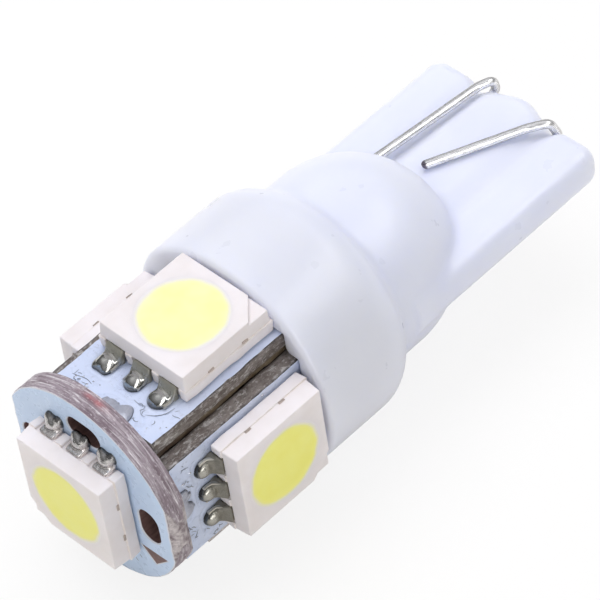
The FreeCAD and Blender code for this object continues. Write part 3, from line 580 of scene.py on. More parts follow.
def wire_material():
    n = Nodes("tinned_wire")
    p = n.coords((1.2, 14.0, 1.0), "flow")
    q = n.coords((1, 1, 1), "flow")
    draw = n.noise(p, 1.2, 4.0, 0.6)
    cut = n.node("ShaderNodeAttribute", attribute_name="film").outputs["Fac"]
    col = n.mix(n.span(draw, 0.42, 0.62), srgb(236, 236, 235), srgb(250, 250, 250))
    col = n.mix(n.span(n.noise(q, 3.0, 4.0, 0.65), 0.60, 0.74, 0.0, 0.5), col, srgb(190, 187, 182))
    col = n.mix(n.span(n.noise(p, 2.6, 3.0, 0.6), 0.54, 0.66, 0.0, 0.55), col, srgb(176, 174, 170))
    # painted shade: the wire darkens towards its outline, where its surface turns away from view
    edge = n.node("ShaderNodeLayerWeight").outputs["Facing"]
    col = n.mix(n.span(edge, 0.42, 0.86, 0.0, 0.8), col, srgb(132, 130, 126))
    col = n.mix(cut, col, srgb(112, 106, 116))
    n.to(col, "Base Color")
    n.to(n.span(draw, 0.3, 0.7, 0.22, 0.34), "Roughness")
    n.to(n.bump(draw, 0.008, 0.6), "Normal")
    n.set(Metallic=0.70)
    return n.material


def resistor_material():
    n = Nodes("resistor_body")
    p = n.coords()
    band = n.coords((1.0, 0.0, 0.0))
    x = n.node("ShaderNodeSeparateXYZ")
    n.link(band, x.inputs[0])
    col = n.mix(n.span(n.noise(p, 1.4, 3.0), 0.35, 0.65), srgb(196, 176, 140), srgb(186, 164, 126))
    # four plain colour rings along the body
    for at, c in ((-4.10, (110, 60, 40)), (-3.45, (60, 60, 60)), (-2.80, (150, 60, 50)), (-1.75, (170, 140, 60))):
        d = n.math("ABSOLUTE", n.math("SUBTRACT", x.outputs["X"], at))
        col = n.mix(n.span(d, 0.17, 0.13), col, srgb(*c))
    n.to(col, "Base Color")
    n.to(n.span(n.noise(p, 2.0, 2.0), 0.3, 0.7, 0.28, 0.42), "Roughness")
    n.to(n.bump(n.noise(p, 8.0, 3.0), 0.006, 0.5), "Normal")
    return n.material


MASK = mask_material("board_mask", srgb(212, 221, 241), srgb(202, 213, 238))
MASK_FRONT = mask_material("board_mask_front", srgb(200, 220, 246), srgb(193, 214, 241), 0.0)
RIM = mask_material("board_rim", srgb(226, 230, 238), srgb(210, 214, 224))
EDGE = laminate_material("board_edge", srgb(98, 88, 82), srgb(140, 132, 127), srgb(206, 203, 200), (1.3, 2.6, 1.0))
INNER = laminate_material("board_inner", srgb(74, 62, 54), srgb(104, 90, 80), srgb(134, 122, 112), (2.0, 2.0, 1.0))
DISC_EDGE = laminate_material("disc_edge", srgb(122, 106, 114), srgb(172, 160, 167), srgb(234, 229, 232), (0.42, 5.5, 1.0))
BARE = bare_material()
RESIN = resin_material()
PLASTIC = plastic_material()
SOLDER = metal_material("solder", srgb(196, 196, 192), srgb(148, 144, 126), (0.10, 0.18), 0.4, 0.008)
# painted shade: a darker copy of the solder for the package on the right, whose leads face sideways
SOLDER_SHADED = metal_material("solder_side_shaded", srgb(164, 162, 154), srgb(122, 118, 106), (0.16, 0.28), 0.5, 0.012, 1.0, 1.0, 0.28)
# painted light: a lighter copy of the solder, pinkish-white in its film, for the package at the front
SOLDER_FRONT_LIT = metal_material("solder_front_lit", srgb(214, 212, 210), srgb(240, 230, 226), (0.06, 0.14), 0.4, 0.03, 1.3)
JOINT = metal_material("solder_grey", srgb(200, 202, 212), srgb(172, 174, 186), (0.16, 0.30), 0.4, 0.016, 1.0, 0.5)
FLECK = metal_material("flux_fleck", srgb(206, 208, 214), srgb(150, 150, 150), (0.20, 0.34), 0.3, 0.008)
SCRATCH = mask_material("mask_mark", srgb(150, 156, 170), srgb(112, 118, 126), 0.2)
LEAD = metal_material("tinned_lead", srgb(196, 192, 180), srgb(132, 124, 98), (0.26, 0.42), 0.5, 0.008)
# painted light: a lighter, pinkish-white copy of the lead finish for the package at the front
LEAD_FRONT_LIT = metal_material("tinned_lead_front_lit", srgb(226, 220, 216), srgb(238, 228, 224), (0.3, 0.45), 0.2, 0.006)
COPPER = metal_material("cut_copper", srgb(206, 194, 186), srgb(168, 150, 138), (0.45, 0.60), 0.6, 0.01, 1.0, 0.8)
WIRE = wire_material()
RESISTOR = resistor_material()

# ---------------------------------------------------------------------------
# camera, floor, light
# ---------------------------------------------------------------------------
scene = bpy.context.scene
cam_data = bpy.data.cameras.new("camera")
cam_data.sensor_fit = "HORIZONTAL"
cam_data.sensor_width = 36.0
cam_data.lens = 253.8
cam_data.clip_start, cam_data.clip_end = 0.01, 20.0
cam = bpy.data.objects.new("camera", cam_data)
scene.collection.objects.link(cam)
cam.matrix_world = Matrix((
    (-0.6898, -0.5878, 0.4226, 0.075325),
    (0.7158, -0.4667, 0.5194, 0.09234),
    (-0.1081, 0.6608, 0.7427, 0.13779),
    (0, 0, 0, 1)))
scene.camera = cam

bm = bmesh.new()
bmesh.ops.create_grid(bm, x_segments=24, y_segments=24, size=0.6)
me = bpy.data.meshes.new("floor")
bm.to_mesh(me)
bm.free()
floor = bpy.data.objects.new("floor", me)
scene.collection.objects.link(floor)
floor.location = (0, 0, -0.00002)
n = Nodes("floor_white")
c = n.coords()
n.to(n.mix(n.span(n.noise(c, 0.02, 3.0), 0.3, 0.7), (0.94, 0.92, 0.88), (0.96, 0.94, 0.90)), "Base Color")
n.set(Roughness=0.6, Specular_IOR_Level=0.2)
glow = n.node("ShaderNodeEmission")
glow.inputs["Color"].default_value = (1, 1, 1, 1)
glow.inputs["Strength"].default_value = 1.0
ray = n.node("ShaderNodeLightPath")
share = n.math("MULTIPLY", ray.outputs["Is Camera Ray"], 0.84)
both = n.node("ShaderNodeMixShader")
n.link(share, both.inputs[0])
n.link(n.bsdf.outputs["BSDF"], both.inputs[1])
n.link(glow.outputs[0], both.inputs[2])
n.link(both.outputs[0], n.out.inputs["Surface"])
me.materials.append(n.material)

world = bpy.data.worlds.new("studio")
scene.world = world
world.use_nodes = True
t = world.node_tree
t.nodes.clear()
out = t.nodes.new("ShaderNodeOutputWorld")
geo = t.nodes.new("ShaderNodeTexCoord")
sep = t.nodes.new("ShaderNodeSeparateXYZ")
t.links.new(geo.outputs["Generated"], sep.inputs[0])


def sky(stops, strength):
    """A studio tent: its brightness by height."""
    ramp = t.nodes.new("ShaderNodeValToRGB")
    ramp.color_ramp.interpolation = "EASE"
    els = ramp.color_ramp.elements
    while len(els) > 1:
        els.remove(els[0])
    els[0].position, els[0].color = stops[0][0], _rgba(stops[0][1])
    for pos, colour in stops[1:]:
        els.new(pos).color = _rgba(colour)
    t.links.new(sep.outputs["Z"], ramp.inputs["Fac"])
    lamp = t.nodes.new("ShaderNodeBackground")
    lamp.inputs["Strength"].default_value = strength
    t.links.new(ramp.outputs["Color"], lamp.inputs["Color"])
    return lamp


TENT = sky([(0.0, (0.58, 0.56, 0.51)), (0.10, (0.49, 0.48, 0.44)), (0.42, (0.56, 0.56, 0.55)), (0.72, (0.86, 0.87, 0.91)), (1.0, (1.03, 1.03, 1.10))], 0.81)
MIRROR = sky([(0.0, (0.35, 0.35, 0.34)), (0.10, (0.12, 0.12, 0.12)), (0.42, (0.18, 0.18, 0.18)), (0.72, (0.34, 0.34, 0.35)), (1.0, (0.70, 0.70, 0.73))], 0.80)
seen = t.nodes.new("ShaderNodeBackground")
seen.inputs["Color"].default_value = (1, 1, 1, 1)
seen.inputs["Strength"].default_value = 1.0


def world_math(op, a, b):
    m = t.nodes.new("ShaderNodeMath")
    m.operation = op
    for i, v in enumerate((a, b)):
        if isinstance(v, (int, float)):
            m.inputs[i].default_value = v
        elif v is not None:
            t.links.new(v, m.inputs[i])
    return m.outputs[0]


def world_dot(v):
    m = t.nodes.new("ShaderNodeVectorMath")
    m.operation = "DOT_PRODUCT"
    m.inputs[1].default_value = Vector(v).normalized()
    t.links.new(geo.outputs["Generated"], m.inputs[0])
    return m.outputs["Value"]


def world_span(v, a, b):
    m = t.nodes.new("ShaderNodeMapRange")
    m.inputs["From Min"].default_value = a
    m.inputs["From Max"].default_value = b
    t.links.new(v, m.inputs["Value"])
    return m.outputs["Result"]


# what bright metal mirrors: a long slanting strip of light at the side, and a faint round one above
across = world_span(world_math("ABSOLUTE", world_dot((0.592, -0.473, 0.652)), None), 0.19, 0.12)
upward = world_span(sep.outputs["Z"], 0.02, 0.08)
panel = world_math("MULTIPLY", world_math("MULTIPLY", across, upward), world_span(world_dot((-0.07, 0.775, 0.626)), 0.52, 0.64))
above = world_span(world_dot((-0.125, -0.31, 0.94)), 0.945, 0.965)
glow = t.nodes.new("ShaderNodeBackground")
glow.inputs["Color"].default_value = (1, 1, 1, 1)
t.links.new(world_math("ADD", world_math("MULTIPLY", panel, 4.2), world_math("MULTIPLY", above, 0.25)), glow.inputs["Strength"])
bright = t.nodes.new("ShaderNodeAddShader")
t.links.new(MIRROR.outputs[0], bright.inputs[0])
t.links.new(glow.outputs[0], bright.inputs[1])
path = t.nodes.new("ShaderNodeLightPath")
lit = t.nodes.new("ShaderNodeMixShader")
t.links.new(path.outputs["Is Glossy Ray"], lit.inputs[0])
t.links.new(TENT.outputs[0], lit.inputs[1])
t.links.new(bright.outputs[0], lit.inputs[2])
mix = t.nodes.new("ShaderNodeMixShader")
t.links.new(path.outputs["Is Camera Ray"], mix.inputs[0])
t.links.new(lit.outputs[0], mix.inputs[1])
t.links.new(seen.outputs[0], mix.inputs[2])
t.links.new(mix.outputs[0], out.inputs["Surface"])


def softbox(name, place, size, power, colour):
    d = bpy.data.lights.new(name, "AREA")
    d.shape = "ELLIPSE"
    d.size, d.size_y = size
    d.energy = power
    d.color = colour
    o = bpy.data.objects.new(name, d)
    scene.collection.objects.link(o)
    o.location = place
    o.rotation_mode = "QUATERNION"
    o.rotation_quaternion = (-Vector(place)).to_track_quat("-Z", "Y")
    return o


key = softbox("key", (-0.04, -0.10, 0.30), (0.32, 0.24), 0.54, (0.99, 0.995, 1.05))
key.visible_glossy = False
side_light = softbox("side", (0.26, 0.16, 0.12), (0.12, 0.16), 0.058, (1.0, 0.98, 0.93))
side_light.visible_glossy = False

scene.view_settings.view_transform = "Standard"
scene.view_settings.look = "None"
scene.view_settings.exposure = 0.0
scene.view_settings.gamma = 1.0

# ---------------------------------------------------------------------------
# moulded base
# ---------------------------------------------------------------------------


def bell(u):
    return np.where(np.abs(u) < 1, 0.5 + 0.5 * np.cos(math.pi * np.clip(u, -1, 1)), 0.0)


def blade_end(y):
    return (-20.28 + 0.20 * bell((y - 2.25) / 0.62) + 0.20 * bell((y + 1.95) / 0.62) - 0.46 * bell((y - 0.15) / 1.7))


def boards2(y, z):
    """Distance to the side boards, seen along the bulb."""
    d = box2(y, z, 0.40, 3.40, 2.90, 0.40)
    for cy, cz, hy, hz in ((3.60, -0.20, 0.40, 2.90), (0.0, -3.73, 2.90, 0.40), (-3.15, -0.24, 0.40, 2.90)):
        d = np.minimum(d, box2(y, z, cy, cz, hy, hz))
    return d


def base(x, y, z):
    rho = np.hypot(y, z)
    # collar: straight outside, rounded off towards the neck
    cx, cy, cr = -6.10, 3.443, 2.187
    rear = np.where(x < cx, np.hypot(x - cx, rho - cy) - cr, rho - cy - cr)
    collar = rmax(0.28, smax(0.06, rho - 5.63, rear), x + 2.55)
    neck = np.maximum(np.where(x > -9.55, rho - 4.57, np.hypot(x + 9.55, rho) - 4.57), x + 6.3)
    d = rmin(0.26, collar, neck)
    # blade: three ribs with two soft grooves on each face
    stadium = np.hypot(np.maximum(np.abs(y) - 3.90, 0), np.maximum(np.abs(z) - 0.20, 0)) - 0.85
    g = bell((np.abs(y) - 2.0) / 0.98)
    slope = np.where(g > 0, 0.5 * 0.27 * math.pi / 0.98 * np.sin(math.pi * np.clip((np.abs(y) - 2.0) / 0.98, -1, 1)), 0.0)
    flat = (np.abs(z) - (1.05 - 0.27 * g)) / np.sqrt(1 + slope * slope)
    section = smax(0.10, stadium, flat)
    e = 0.02
    turn = (blade_end(y + e) - blade_end(y - e)) / (2 * e)
    end = (blade_end(y) - x) / np.sqrt(1 + turn * turn)
    blade = rmax(0.74, section, end)
    blade = np.maximum(blade, x + 9.0)
    d = rmin(0.26, d, blade)
    # gate mark
    d = smin(0.10, d, np.sqrt((x + 13.91) ** 2 + (y + 0.22) ** 2 + (z - 1.10) ** 2) - 0.24 + 0.0 * x)
    # bore, well and wire holes
    mouth = np.minimum(rho - 4.50, boards2(y, z) - 0.06)
    bore = np.maximum(np.minimum(mouth, np.maximum(rho - 5.12, x + 3.30)), -6.50 - x)
    d = rmax(0.14, d, -bore)
    d = smax(0.05, d, -np.maximum(rho - 3.0, -11.60 - x))
    for hy in (2.20, -1.65):
        d = np.maximum(d, -np.maximum(np.hypot(y - hy, z) - 0.26, x + 11.3))
    return d


pts, quads = skin(base, (-21.2, -5.95, -5.95), (-2.2, 5.95, 5.95), 0.118, relax=2)
pts[:, 2] = np.maximum(pts[:, 2], -AXIS_Z)
base_piece = piece("wedge_base_moulding", pts, quads, [PLASTIC], frame_at(ROW_X, 0, AXIS_Z), ("wedge_base",))

# ---------------------------------------------------------------------------
# side boards
# ---------------------------------------------------------------------------
PITCH = 1.54


def grid_box(xs, ys, zs):
    """The closed surface of a box on three sets of grid lines: points, quads, and which face each quad is on."""
    n = (len(xs), len(ys), len(zs))
    index = np.full(n, -1, np.int64)
    edge = np.zeros(n, bool)
    for a in range(3):
        s = [slice(None)] * 3
        for end in (0, n[a] - 1):
            s[a] = end
            edge[tuple(s)] = True
    index[edge] = np.arange(edge.sum())
    ijk = np.argwhere(edge)
    pts = np.stack([xs[ijk[:, 0]], ys[ijk[:, 1]], zs[ijk[:, 2]]], 1)
    quads, side = [], []
    for a in range(3):
        b, c = (a + 1) % 3, (a + 2) % 3
        for end, number in ((0, 2 * a), (n[a] - 1, 2 * a + 1)):
            g = np.moveaxis(index, (a, b, c), (0, 1, 2))[end]
            q = np.stack([g[:-1, :-1], g[1:, :-1], g[1:, 1:], g[:-1, 1:]], -1).reshape(-1, 4)
            if end == 0:
                q = q[:, ::-1]
            quads.append(q)
            side.append(np.full(len(q), number))
    return pts, np.concatenate(quads), np.concatenate(side)


def lines(*runs):
    """Grid lines: (from, to, spacing) runs one after another."""
    out = []
    for a, b, h in runs:
        k = max(1, int(round((b - a) / h)))
        out.extend((a + (b - a) * np.arange(k) / k).tolist())
    out.append(runs[-1][1])
    return np.array(out)


BOARD_T, BOARD_W2 = 0.80, 2.90
X0, X1 = -6.50, 4.88


def pad_gap(x, y, joint_y):
    """Distance to the middle of the gaps between copper areas."""
    d = None
    for s in (1, -1):
        for k in (-1, 0, 1):
            e = np.abs(box2(x, y, s * 2.95, k * PITCH, 0.78, 0.66, 0.30))
            d = e if d is None else np.minimum(d, e)
    e = np.abs(box2(x, y, X1 + 0.1, joint_y, 1.05, 1.35, 0.8))
    d = np.minimum(d, e)
    return d


def board(side, seed, joint_y):
    xs = lines((X0, -3.6, 0.16), (-3.6, -2.3, 0.06), (-2.3, 2.3, 0.22), (2.3, X1 - 0.05, 0.055), (X1 - 0.05, X1, 0.025))
    ys = lines((-BOARD_W2, -BOARD_W2 + 0.06, 0.02), (-BOARD_W2 + 0.06, BOARD_W2 - 0.06, 0.062), (BOARD_W2 - 0.06, BOARD_W2, 0.02))
    zs = lines((-BOARD_T, -BOARD_T + 0.05, 0.025), (-BOARD_T + 0.05, -0.05, 0.06), (-0.05, 0.0, 0.025))
    pts, quads, side_of = grid_box(xs, ys, zs)
    x, y, z = pts.T
    # rounded edges
    r = 0.035
    lo = np.array([X0 + r, -BOARD_W2 + r, -BOARD_T + r])
    hi = np.array([X1 - r, BOARD_W2 - r, -r])
    q = np.clip(pts, lo, hi)
    v = pts - q
    size = np.linalg.norm(v, axis=1)
    size[size < 1e-9] = 1
    new = q + v / size[:, None] * r
    # rough cut edges: bundles of fibre along the cut, chipped mask at the corner
    wall = step(BOARD_W2 - 0.09, BOARD_W2, np.abs(y))
    s = np.sign(y)
    cut = 0.030 + 0.030 * fbm(x * 0.9 + s * 9, z * 9.0, 0.0, seed, 3) + 0.020 * fbm(x * 3.2, z * 7.0, s, seed + 3, 2)
    lip = step(-0.10, 0.0, z) + step(-BOARD_T + 0.10, -BOARD_T, z)
    cut = cut + lip * (0.018 + 0.022 * fbm(x * 2.3, s * 4.0, 0.0, seed + 5, 3))
    new[:, 1] -= s * wall * np.clip(cut, 0.0, 0.12)
    endwall = step(X1 - 0.09, X1, x)
    new[:, 0] -= endwall * np.clip(0.02 + 0.02 * fbm(y * 0.9, z * 9.0, 2.0, seed + 7, 3), 0.0, 0.06)
    # rear corners cut back to fit the bore
    room = BOARD_W2 - np.maximum(0, 0.45 - (x - X0))
    new[:, 1] *= room / BOARD_W2
    # outer face: gaps between the copper areas show through the mask, bare pads under the solder
    face = step(-0.02, 0.0, z)
    gap = step(0.10, 0.03, pad_gap(x, y, joint_y))
    relief = -0.028 * gap
    for sx in (1, -1):
        for k in (-1, 0, 1):
            relief = np.minimum(relief, -0.02 * step(0.03, -0.03, box2(x, y, sx * 2.95, k * PITCH, 0.66, 0.57, 0.26)))
    relief = relief + 0.008 * (fbm(x * 1.2, y * 1.2, 0.0, seed + 9, 2) - 1)
    new[:, 2] += face * relief
    flow = np.stack([x, z + s * 3.0, s], 1)
    flow[np.abs(x) > X1 - 0.02] = np.stack([y, z + 7.0, 0 * z], 1)[np.abs(x) > X1 - 0.02]
    mat = np.where(side_of == 5, 0, np.where(side_of == 4, 2, 1))
    piece(side + "_board_laminate", new, quads, [MASK, EDGE, INNER], frame_at(*FACE[side], TURN[side]), (side + "_board",),
          sharp=50, attributes={"flow": flow, "stain": np.zeros(len(new)), "lip": wall * step(-0.13, -0.03, z)}, face_material=mat)


JOINT_AT = {"top": 0.50, "right": -0.35, "bottom": 0.30, "left": -0.20}
for i, side in enumerate(("top", "right", "bottom", "left")):
    board(side, 11 + 23 * i, JOINT_AT[side])

# ---------------------------------------------------------------------------
# front board
# ---------------------------------------------------------------------------
DISC_T, DISC_R = 1.05, 4.90
FLAT_R, FLAT_L = 4.86 - 0.03, 4.48 + 0.03


def flat_at(flat, w):
    """A snapped flat: a score bevel at each face and the broken web between them."""
    return flat - 0.22 * (1 - np.clip(np.minimum(w, DISC_T - w) / 0.34, 0, 1))


def front_board():
    # own frame: x through the thickness (0 at the back), y and z as in the row
    cols = 460
    th = 2 * math.pi * (np.arange(cols) + 0.5) / cols - math.pi / 2
    ws = np.array([0.0, 0.02, 0.06] + list(np.linspace(0.11, DISC_T - 0.11, 15)) + [DISC_T - 0.06, DISC_T - 0.02, DISC_T])
    inset = np.zeros(len(ws))
    inset[[0, -1]] = 0.045
    inset[[1, -2]] = 0.012
    pts, flow, stain, snapped = [], [], [], []
    rows = []
    for j, w in enumerate(ws):
        ring = []
        ca, sa = np.cos(th), np.sin(th)
        y, z = DISC_R * ca, DISC_R * sa
        on_r = y > flat_at(FLAT_R, w)
        on_l = y < -flat_at(FLAT_L, w)
        on = on_r | on_l
        s = th * DISC_R
        rough = 0.022 + 0.022 * fbm(s * 0.8, w * 9.0, 0.0, 71, 3) + 0.012 * fbm(s * 3.0, w * 12.0, 0.0, 77, 2)
        rough = np.where(on, 0.035 + 0.05 * fbm(s * 2.2, w * 3.0, 0.0, 83, 3), rough)
        lip = 1 if j in (0, len(ws) - 1) else 0
        rough = np.clip(rough + lip * 0.012 * (1 + fbm(s * 2.0, 0.0, 0.0, 91 + j, 3)), 0.0, 0.12) + inset[j]
        rad = DISC_R - rough
        y, z = rad * ca, rad * sa
        y = np.minimum(y, flat_at(FLAT_R, w) - rough)
        y = np.maximum(y, -(flat_at(FLAT_L, w) - rough))
        base_i = len(pts)
        for i in range(cols):
            pts.append((w, y[i], z[i]))
            flow.append((s[i], w, 1.0 if on[i] else 0.0))
            red = math.exp(-((math.degrees(th[i]) - 85.0) / 7.0) ** 2) * math.exp(-((w - 0.30) / 0.13) ** 2)
            snapped.append(1.0 if on[i] else 0.0)
            stain.append(0.75 * red * (0.6 + 0.4 * float(noise(s[i] * 3.0, w * 9.0, 0.0, 5))))
        rows.append(list(range(base_i, base_i + cols)))
    faces, mats = [], []

    def wall(rows, flip, mat_edge, mat_rim):
        m = len(rows)
        for j in range(m - 1):
            a, b = rows[j], rows[j + 1]
            k = len(a)
            for i in range(k):
                q = [a[i], a[(i + 1) % k], b[(i + 1) % k], b[i]]
                faces.append(q[::-1] if flip else q)
                mats.append(mat_rim if j in (0, m - 2) else mat_edge)

    wall(rows, True, 1, 2)
    # slots
    slot_loops = []
    for cy, cz, along in ((0.22, 3.36, "y"), (3.36, -0.22, "z"), (-0.22, -3.36, "y"), (-3.36, 0.22, "z")):
        loop = []
        for k in range(56):
            a = 2 * math.pi * k / 56
            u, v = 0.57 * math.cos(a), 0.57 * math.sin(a)
            u += 0.38 if math.cos(a) > 1e-9 else (-0.38 if math.cos(a) < -1e-9 else 0)
            loop.append((cy + (u if along == "y" else v), cz + (v if along == "y" else u)))
        if along == "z":
            loop = loop[::-1]
        loop = np.array(loop)
        centre = np.array((cy, cz))
        srows = []
        for j, (w, grow) in enumerate(((0.0, 0.05), (0.05, 0.0), (0.30, 0.0), (0.55, 0.0), (0.80, 0.0), (DISC_T - 0.05, 0.0), (DISC_T, 0.05))):
            d = loop - centre
            size = np.linalg.norm(d, axis=1)
            k = 0.012 * fbm(np.arange(56) * 0.6, w * 4.0, cy, 101, 2) if 0 < j < 6 else 0.0
            ring = centre + d / size[:, None] * (size + grow + k)[:, None]
            base_i = len(pts)
            for i, (yy, zz) in enumerate(ring):
                pts.append((w, yy, zz))
                flow.append((i * 0.08 + cy * 5, w, 2.0))
                stain.append(0.0)
                snapped.append(0.0)
            srows.append(list(range(base_i, base_i + 56)))
        wall(srows, False, 3, 2)
        slot_loops.append(srows)
    # bare three-cornered opening in the front mask
    tri = np.array([(2.57, 3.56), (4.14, 3.63), (3.32, 2.79)]) - np.array([0.03, 5.51])

    def tri_loop(k):
        c = tri.mean(0)
        v = c + (tri - c) * k
        out = []
        for i in range(3):
            a, b = v[i], v[(i + 1) % 3]
            for t in np.arange(10) / 10:
                out.append(a + (b - a) * t)
        return np.array(out)

    # caps
    inner = []
    for gy in np.arange(-4.6, 4.61, 0.42):
        for gz in np.arange(-4.6, 4.61, 0.42):
            y, z = gy + 0.07 * float(noise(gy * 3, gz * 3, 0, 3)), gz + 0.07 * float(noise(gy * 3, gz * 3, 0, 4))
            if math.hypot(y, z) > 4.62 or y > FLAT_R - 0.5 or y < -(FLAT_L - 0.5):
                continue
            if min(math.hypot(y - c[0], z - c[1]) for c in ((0.22, 3.36), (3.36, -0.22), (-0.22, -3.36), (-3.36, 0.22))) < 1.15:
                continue
            if math.hypot(y - tri.mean(0)[0], z - tri.mean(0)[1]) < 1.0:
                continue
            inner.append((y, z))
    for front in (True, False):
        ring = rows[-1] if front else rows[0]
        idx = list(ring)
        loops = [list(range(len(ring)))]
        for srows in slot_loops:
            r2 = srows[-1] if front else srows[0]
            loops.append(list(range(len(idx), len(idx) + len(r2))))
            idx += r2
        w = DISC_T if front else 0.0
        tri_at = None
        if front:
            outer, low = tri_loop(1.10), tri_loop(1.02)
            for kind, loop, ww in (("o", outer, DISC_T), ("i", low, DISC_T - 0.03)):
                base_i = len(pts)
                for yy, zz in loop:
                    pts.append((ww, yy, zz))
                    flow.append((yy, zz, 3.0))
                    stain.append(0.0)
                    snapped.append(0.0)
                loops.append(list(range(len(idx), len(idx) + len(loop))))
                idx += list(range(base_i, base_i + len(loop)))
        for yy, zz in inner:
            idx.append(len(pts))
            pts.append((w, yy, zz))
            flow.append((yy, zz, 3.0))
            stain.append(0.0)
            snapped.append(0.0)
        flat2 = [Vector((pts[i][1], pts[i][2])) for i in idx]
        edges = [(loop[i], loop[(i + 1) % len(loop)]) for loop in loops for i in range(len(loop))]
        vs, _, tris, orig, _, _ = delaunay_2d_cdt(flat2, edges, [], 0, 1e-9)
        back = [o[0] for o in orig]
        poly = [np.array([[flat2[i].x, flat2[i].y] for i in loop]) for loop in loops]

        def within(p, loop):
            x, y = loop[:, 0], loop[:, 1]
            x2, y2 = np.roll(x, -1), np.roll(y, -1)
            hit = ((y > p[1]) != (y2 > p[1])) & (p[0] < (x2 - x) * (p[1] - y) / np.where(np.abs(y2 - y) < 1e-12, 1e-12, y2 - y) + x)
            return bool(hit.sum() % 2)

        for tr in tris:
            g = [back[i] for i in tr]
            p = np.mean([[flat2[i].x, flat2[i].y] for i in g], 0)
            if not within(p, poly[0]) or any(within(p, q) for q in poly[1:5]):
                continue
            mat = 0
            if front and within(p, poly[6]):
                mat = 3
            elif front and within(p, poly[5]):
                mat = 2
            a, b, c = (np.array(flat2[i]) for i in g)
            turn = (b[0] - a[0]) * (c[1] - a[1]) - (b[1] - a[1]) * (c[0] - a[0])
            f = [idx[i] for i in g]
            if (turn > 0) != front:
                f = f[::-1]
            faces.append(f)
            mats.append(mat)
    piece("front_board_laminate", np.array(pts), faces, [MASK_FRONT, DISC_EDGE, RIM, BARE],
          frame_at(ROW_X + 4.88, 0.03, AXIS_Z - 0.12), ("front_board",), sharp=35,
          attributes={"flow": np.array(flow), "stain": np.array(stain), "snapped": np.array(snapped)}, face_material=mats, turn_out=True)


front_board()

# ---------------------------------------------------------------------------
# light-emitting packages: own frame has z outwards, leads leave along x
# ---------------------------------------------------------------------------
TAN, COS = math.tan(math.radians(4.0)), math.cos(math.radians(4.0))
PART, LED_H = 0.68, 1.4985


def housing(x, y, z):
    w = 2.5 - np.abs(z - PART) * TAN
    # the lower half of the mould stands out a little, with an uneven lip
    lip = PART + 0.016 * noise(x * 2.3, y * 2.3, 0.0, 5)
    w = w + 0.070 * step(lip + 0.012, lip - 0.012, z) * (1 + 0.5 * noise(x * 1.7, y * 1.7, 3.0, 6)) - 0.030
    wx, wy = (np.abs(x) - w) * COS, (np.abs(y) - w) * COS
    walls = rmax(0.06, wx, wy)
    d = rmax(0.035, walls, z - LED_H)
    d = rmax(0.03, d, -z)
    d = rmax(0.02, d, -np.maximum(z - 0.085, 2.30 - np.maximum(np.abs(x), np.abs(y))))
    # corner mark
    mark = np.maximum(2.673 - (y - x) / math.sqrt(2), 1.32 - z)
    d = rmax(0.035, d, -mark)
    # niches around the leads, and the slots that the leads sit in
    for k in (-1, 0, 1):
        niche = np.maximum(np.maximum(np.abs(y - k * PITCH) - 0.57, z - 0.70), 2.39 - np.abs(x))
        d = rmax(0.03, d, -niche)
    # lens pool
    rho = np.hypot(x, y)
    a = 0.36 / 0.80
    pool = np.maximum((rho - 1.62 - (z - 0.70) * a) / math.sqrt(1 + a * a), 0.70 - z)
    d = np.maximum(d, -pool)
    return d


def lathe(profile, segments, wobble=None):
    """A closed turned solid from (radius, height) points, the first and the last on the axis."""
    pts, faces = [], []
    ring_at = []
    for r, z in profile:
        if r < 1e-9:
            ring_at.append([len(pts)])
            pts.append((0.0, 0.0, z))
        else:
            ring_at.append(list(range(len(pts), len(pts) + segments)))
            for i in range(segments):
                a = 2 * math.pi * i / segments
                rr = r * (1 + (wobble(a, r) if wobble else 0.0))
                pts.append((rr * math.cos(a), rr * math.sin(a), z))
    for a, b in zip(ring_at, ring_at[1:]):
        for i in range(segments):
            j = (i + 1) % segments
            if len(a) == 1:
                faces.append([a[0], b[j], b[i]])
            elif len(b) == 1:
                faces.append([a[i], a[j], b[0]])
            else:
                faces.append([a[i], a[j], b[j], b[i]])
    return np.array(pts), faces


def lens():
    prof = [(0.0, 1.465)]
    for r in (0.25, 0.5, 0.75, 1.0, 1.2, 1.4, 1.55, 1.68, 1.78, 1.86, 1.92, 1.96):
        prof.append((r, 1.465 + 0.0345 * (r / 1.98) ** 4))
    # the resin laps a little over the body
    prof += [(2.00, 1.4998), (2.03, 1.4994), (2.06, 1.4975), (1.975, 1.46), (1.90, 1.30), (1.76, 1.00), (1.625, 0.70), (1.0, 0.70), (0.0, 0.70)]
    return lathe(prof[::-1], 144)


# a lead: a strip along x and z, bent twice, with soft bends
STRIP = [(2.10, 0.575), (2.46, 0.575), (2.56, 0.50), (2.76, 0.17), (2.87, 0.085), (3.25, 0.085)]


SHORT = [(2.10, 0.575), (2.36, 0.575), (2.42, 0.50), (2.50, 0.17), (2.58, 0.085), (2.88, 0.085)]


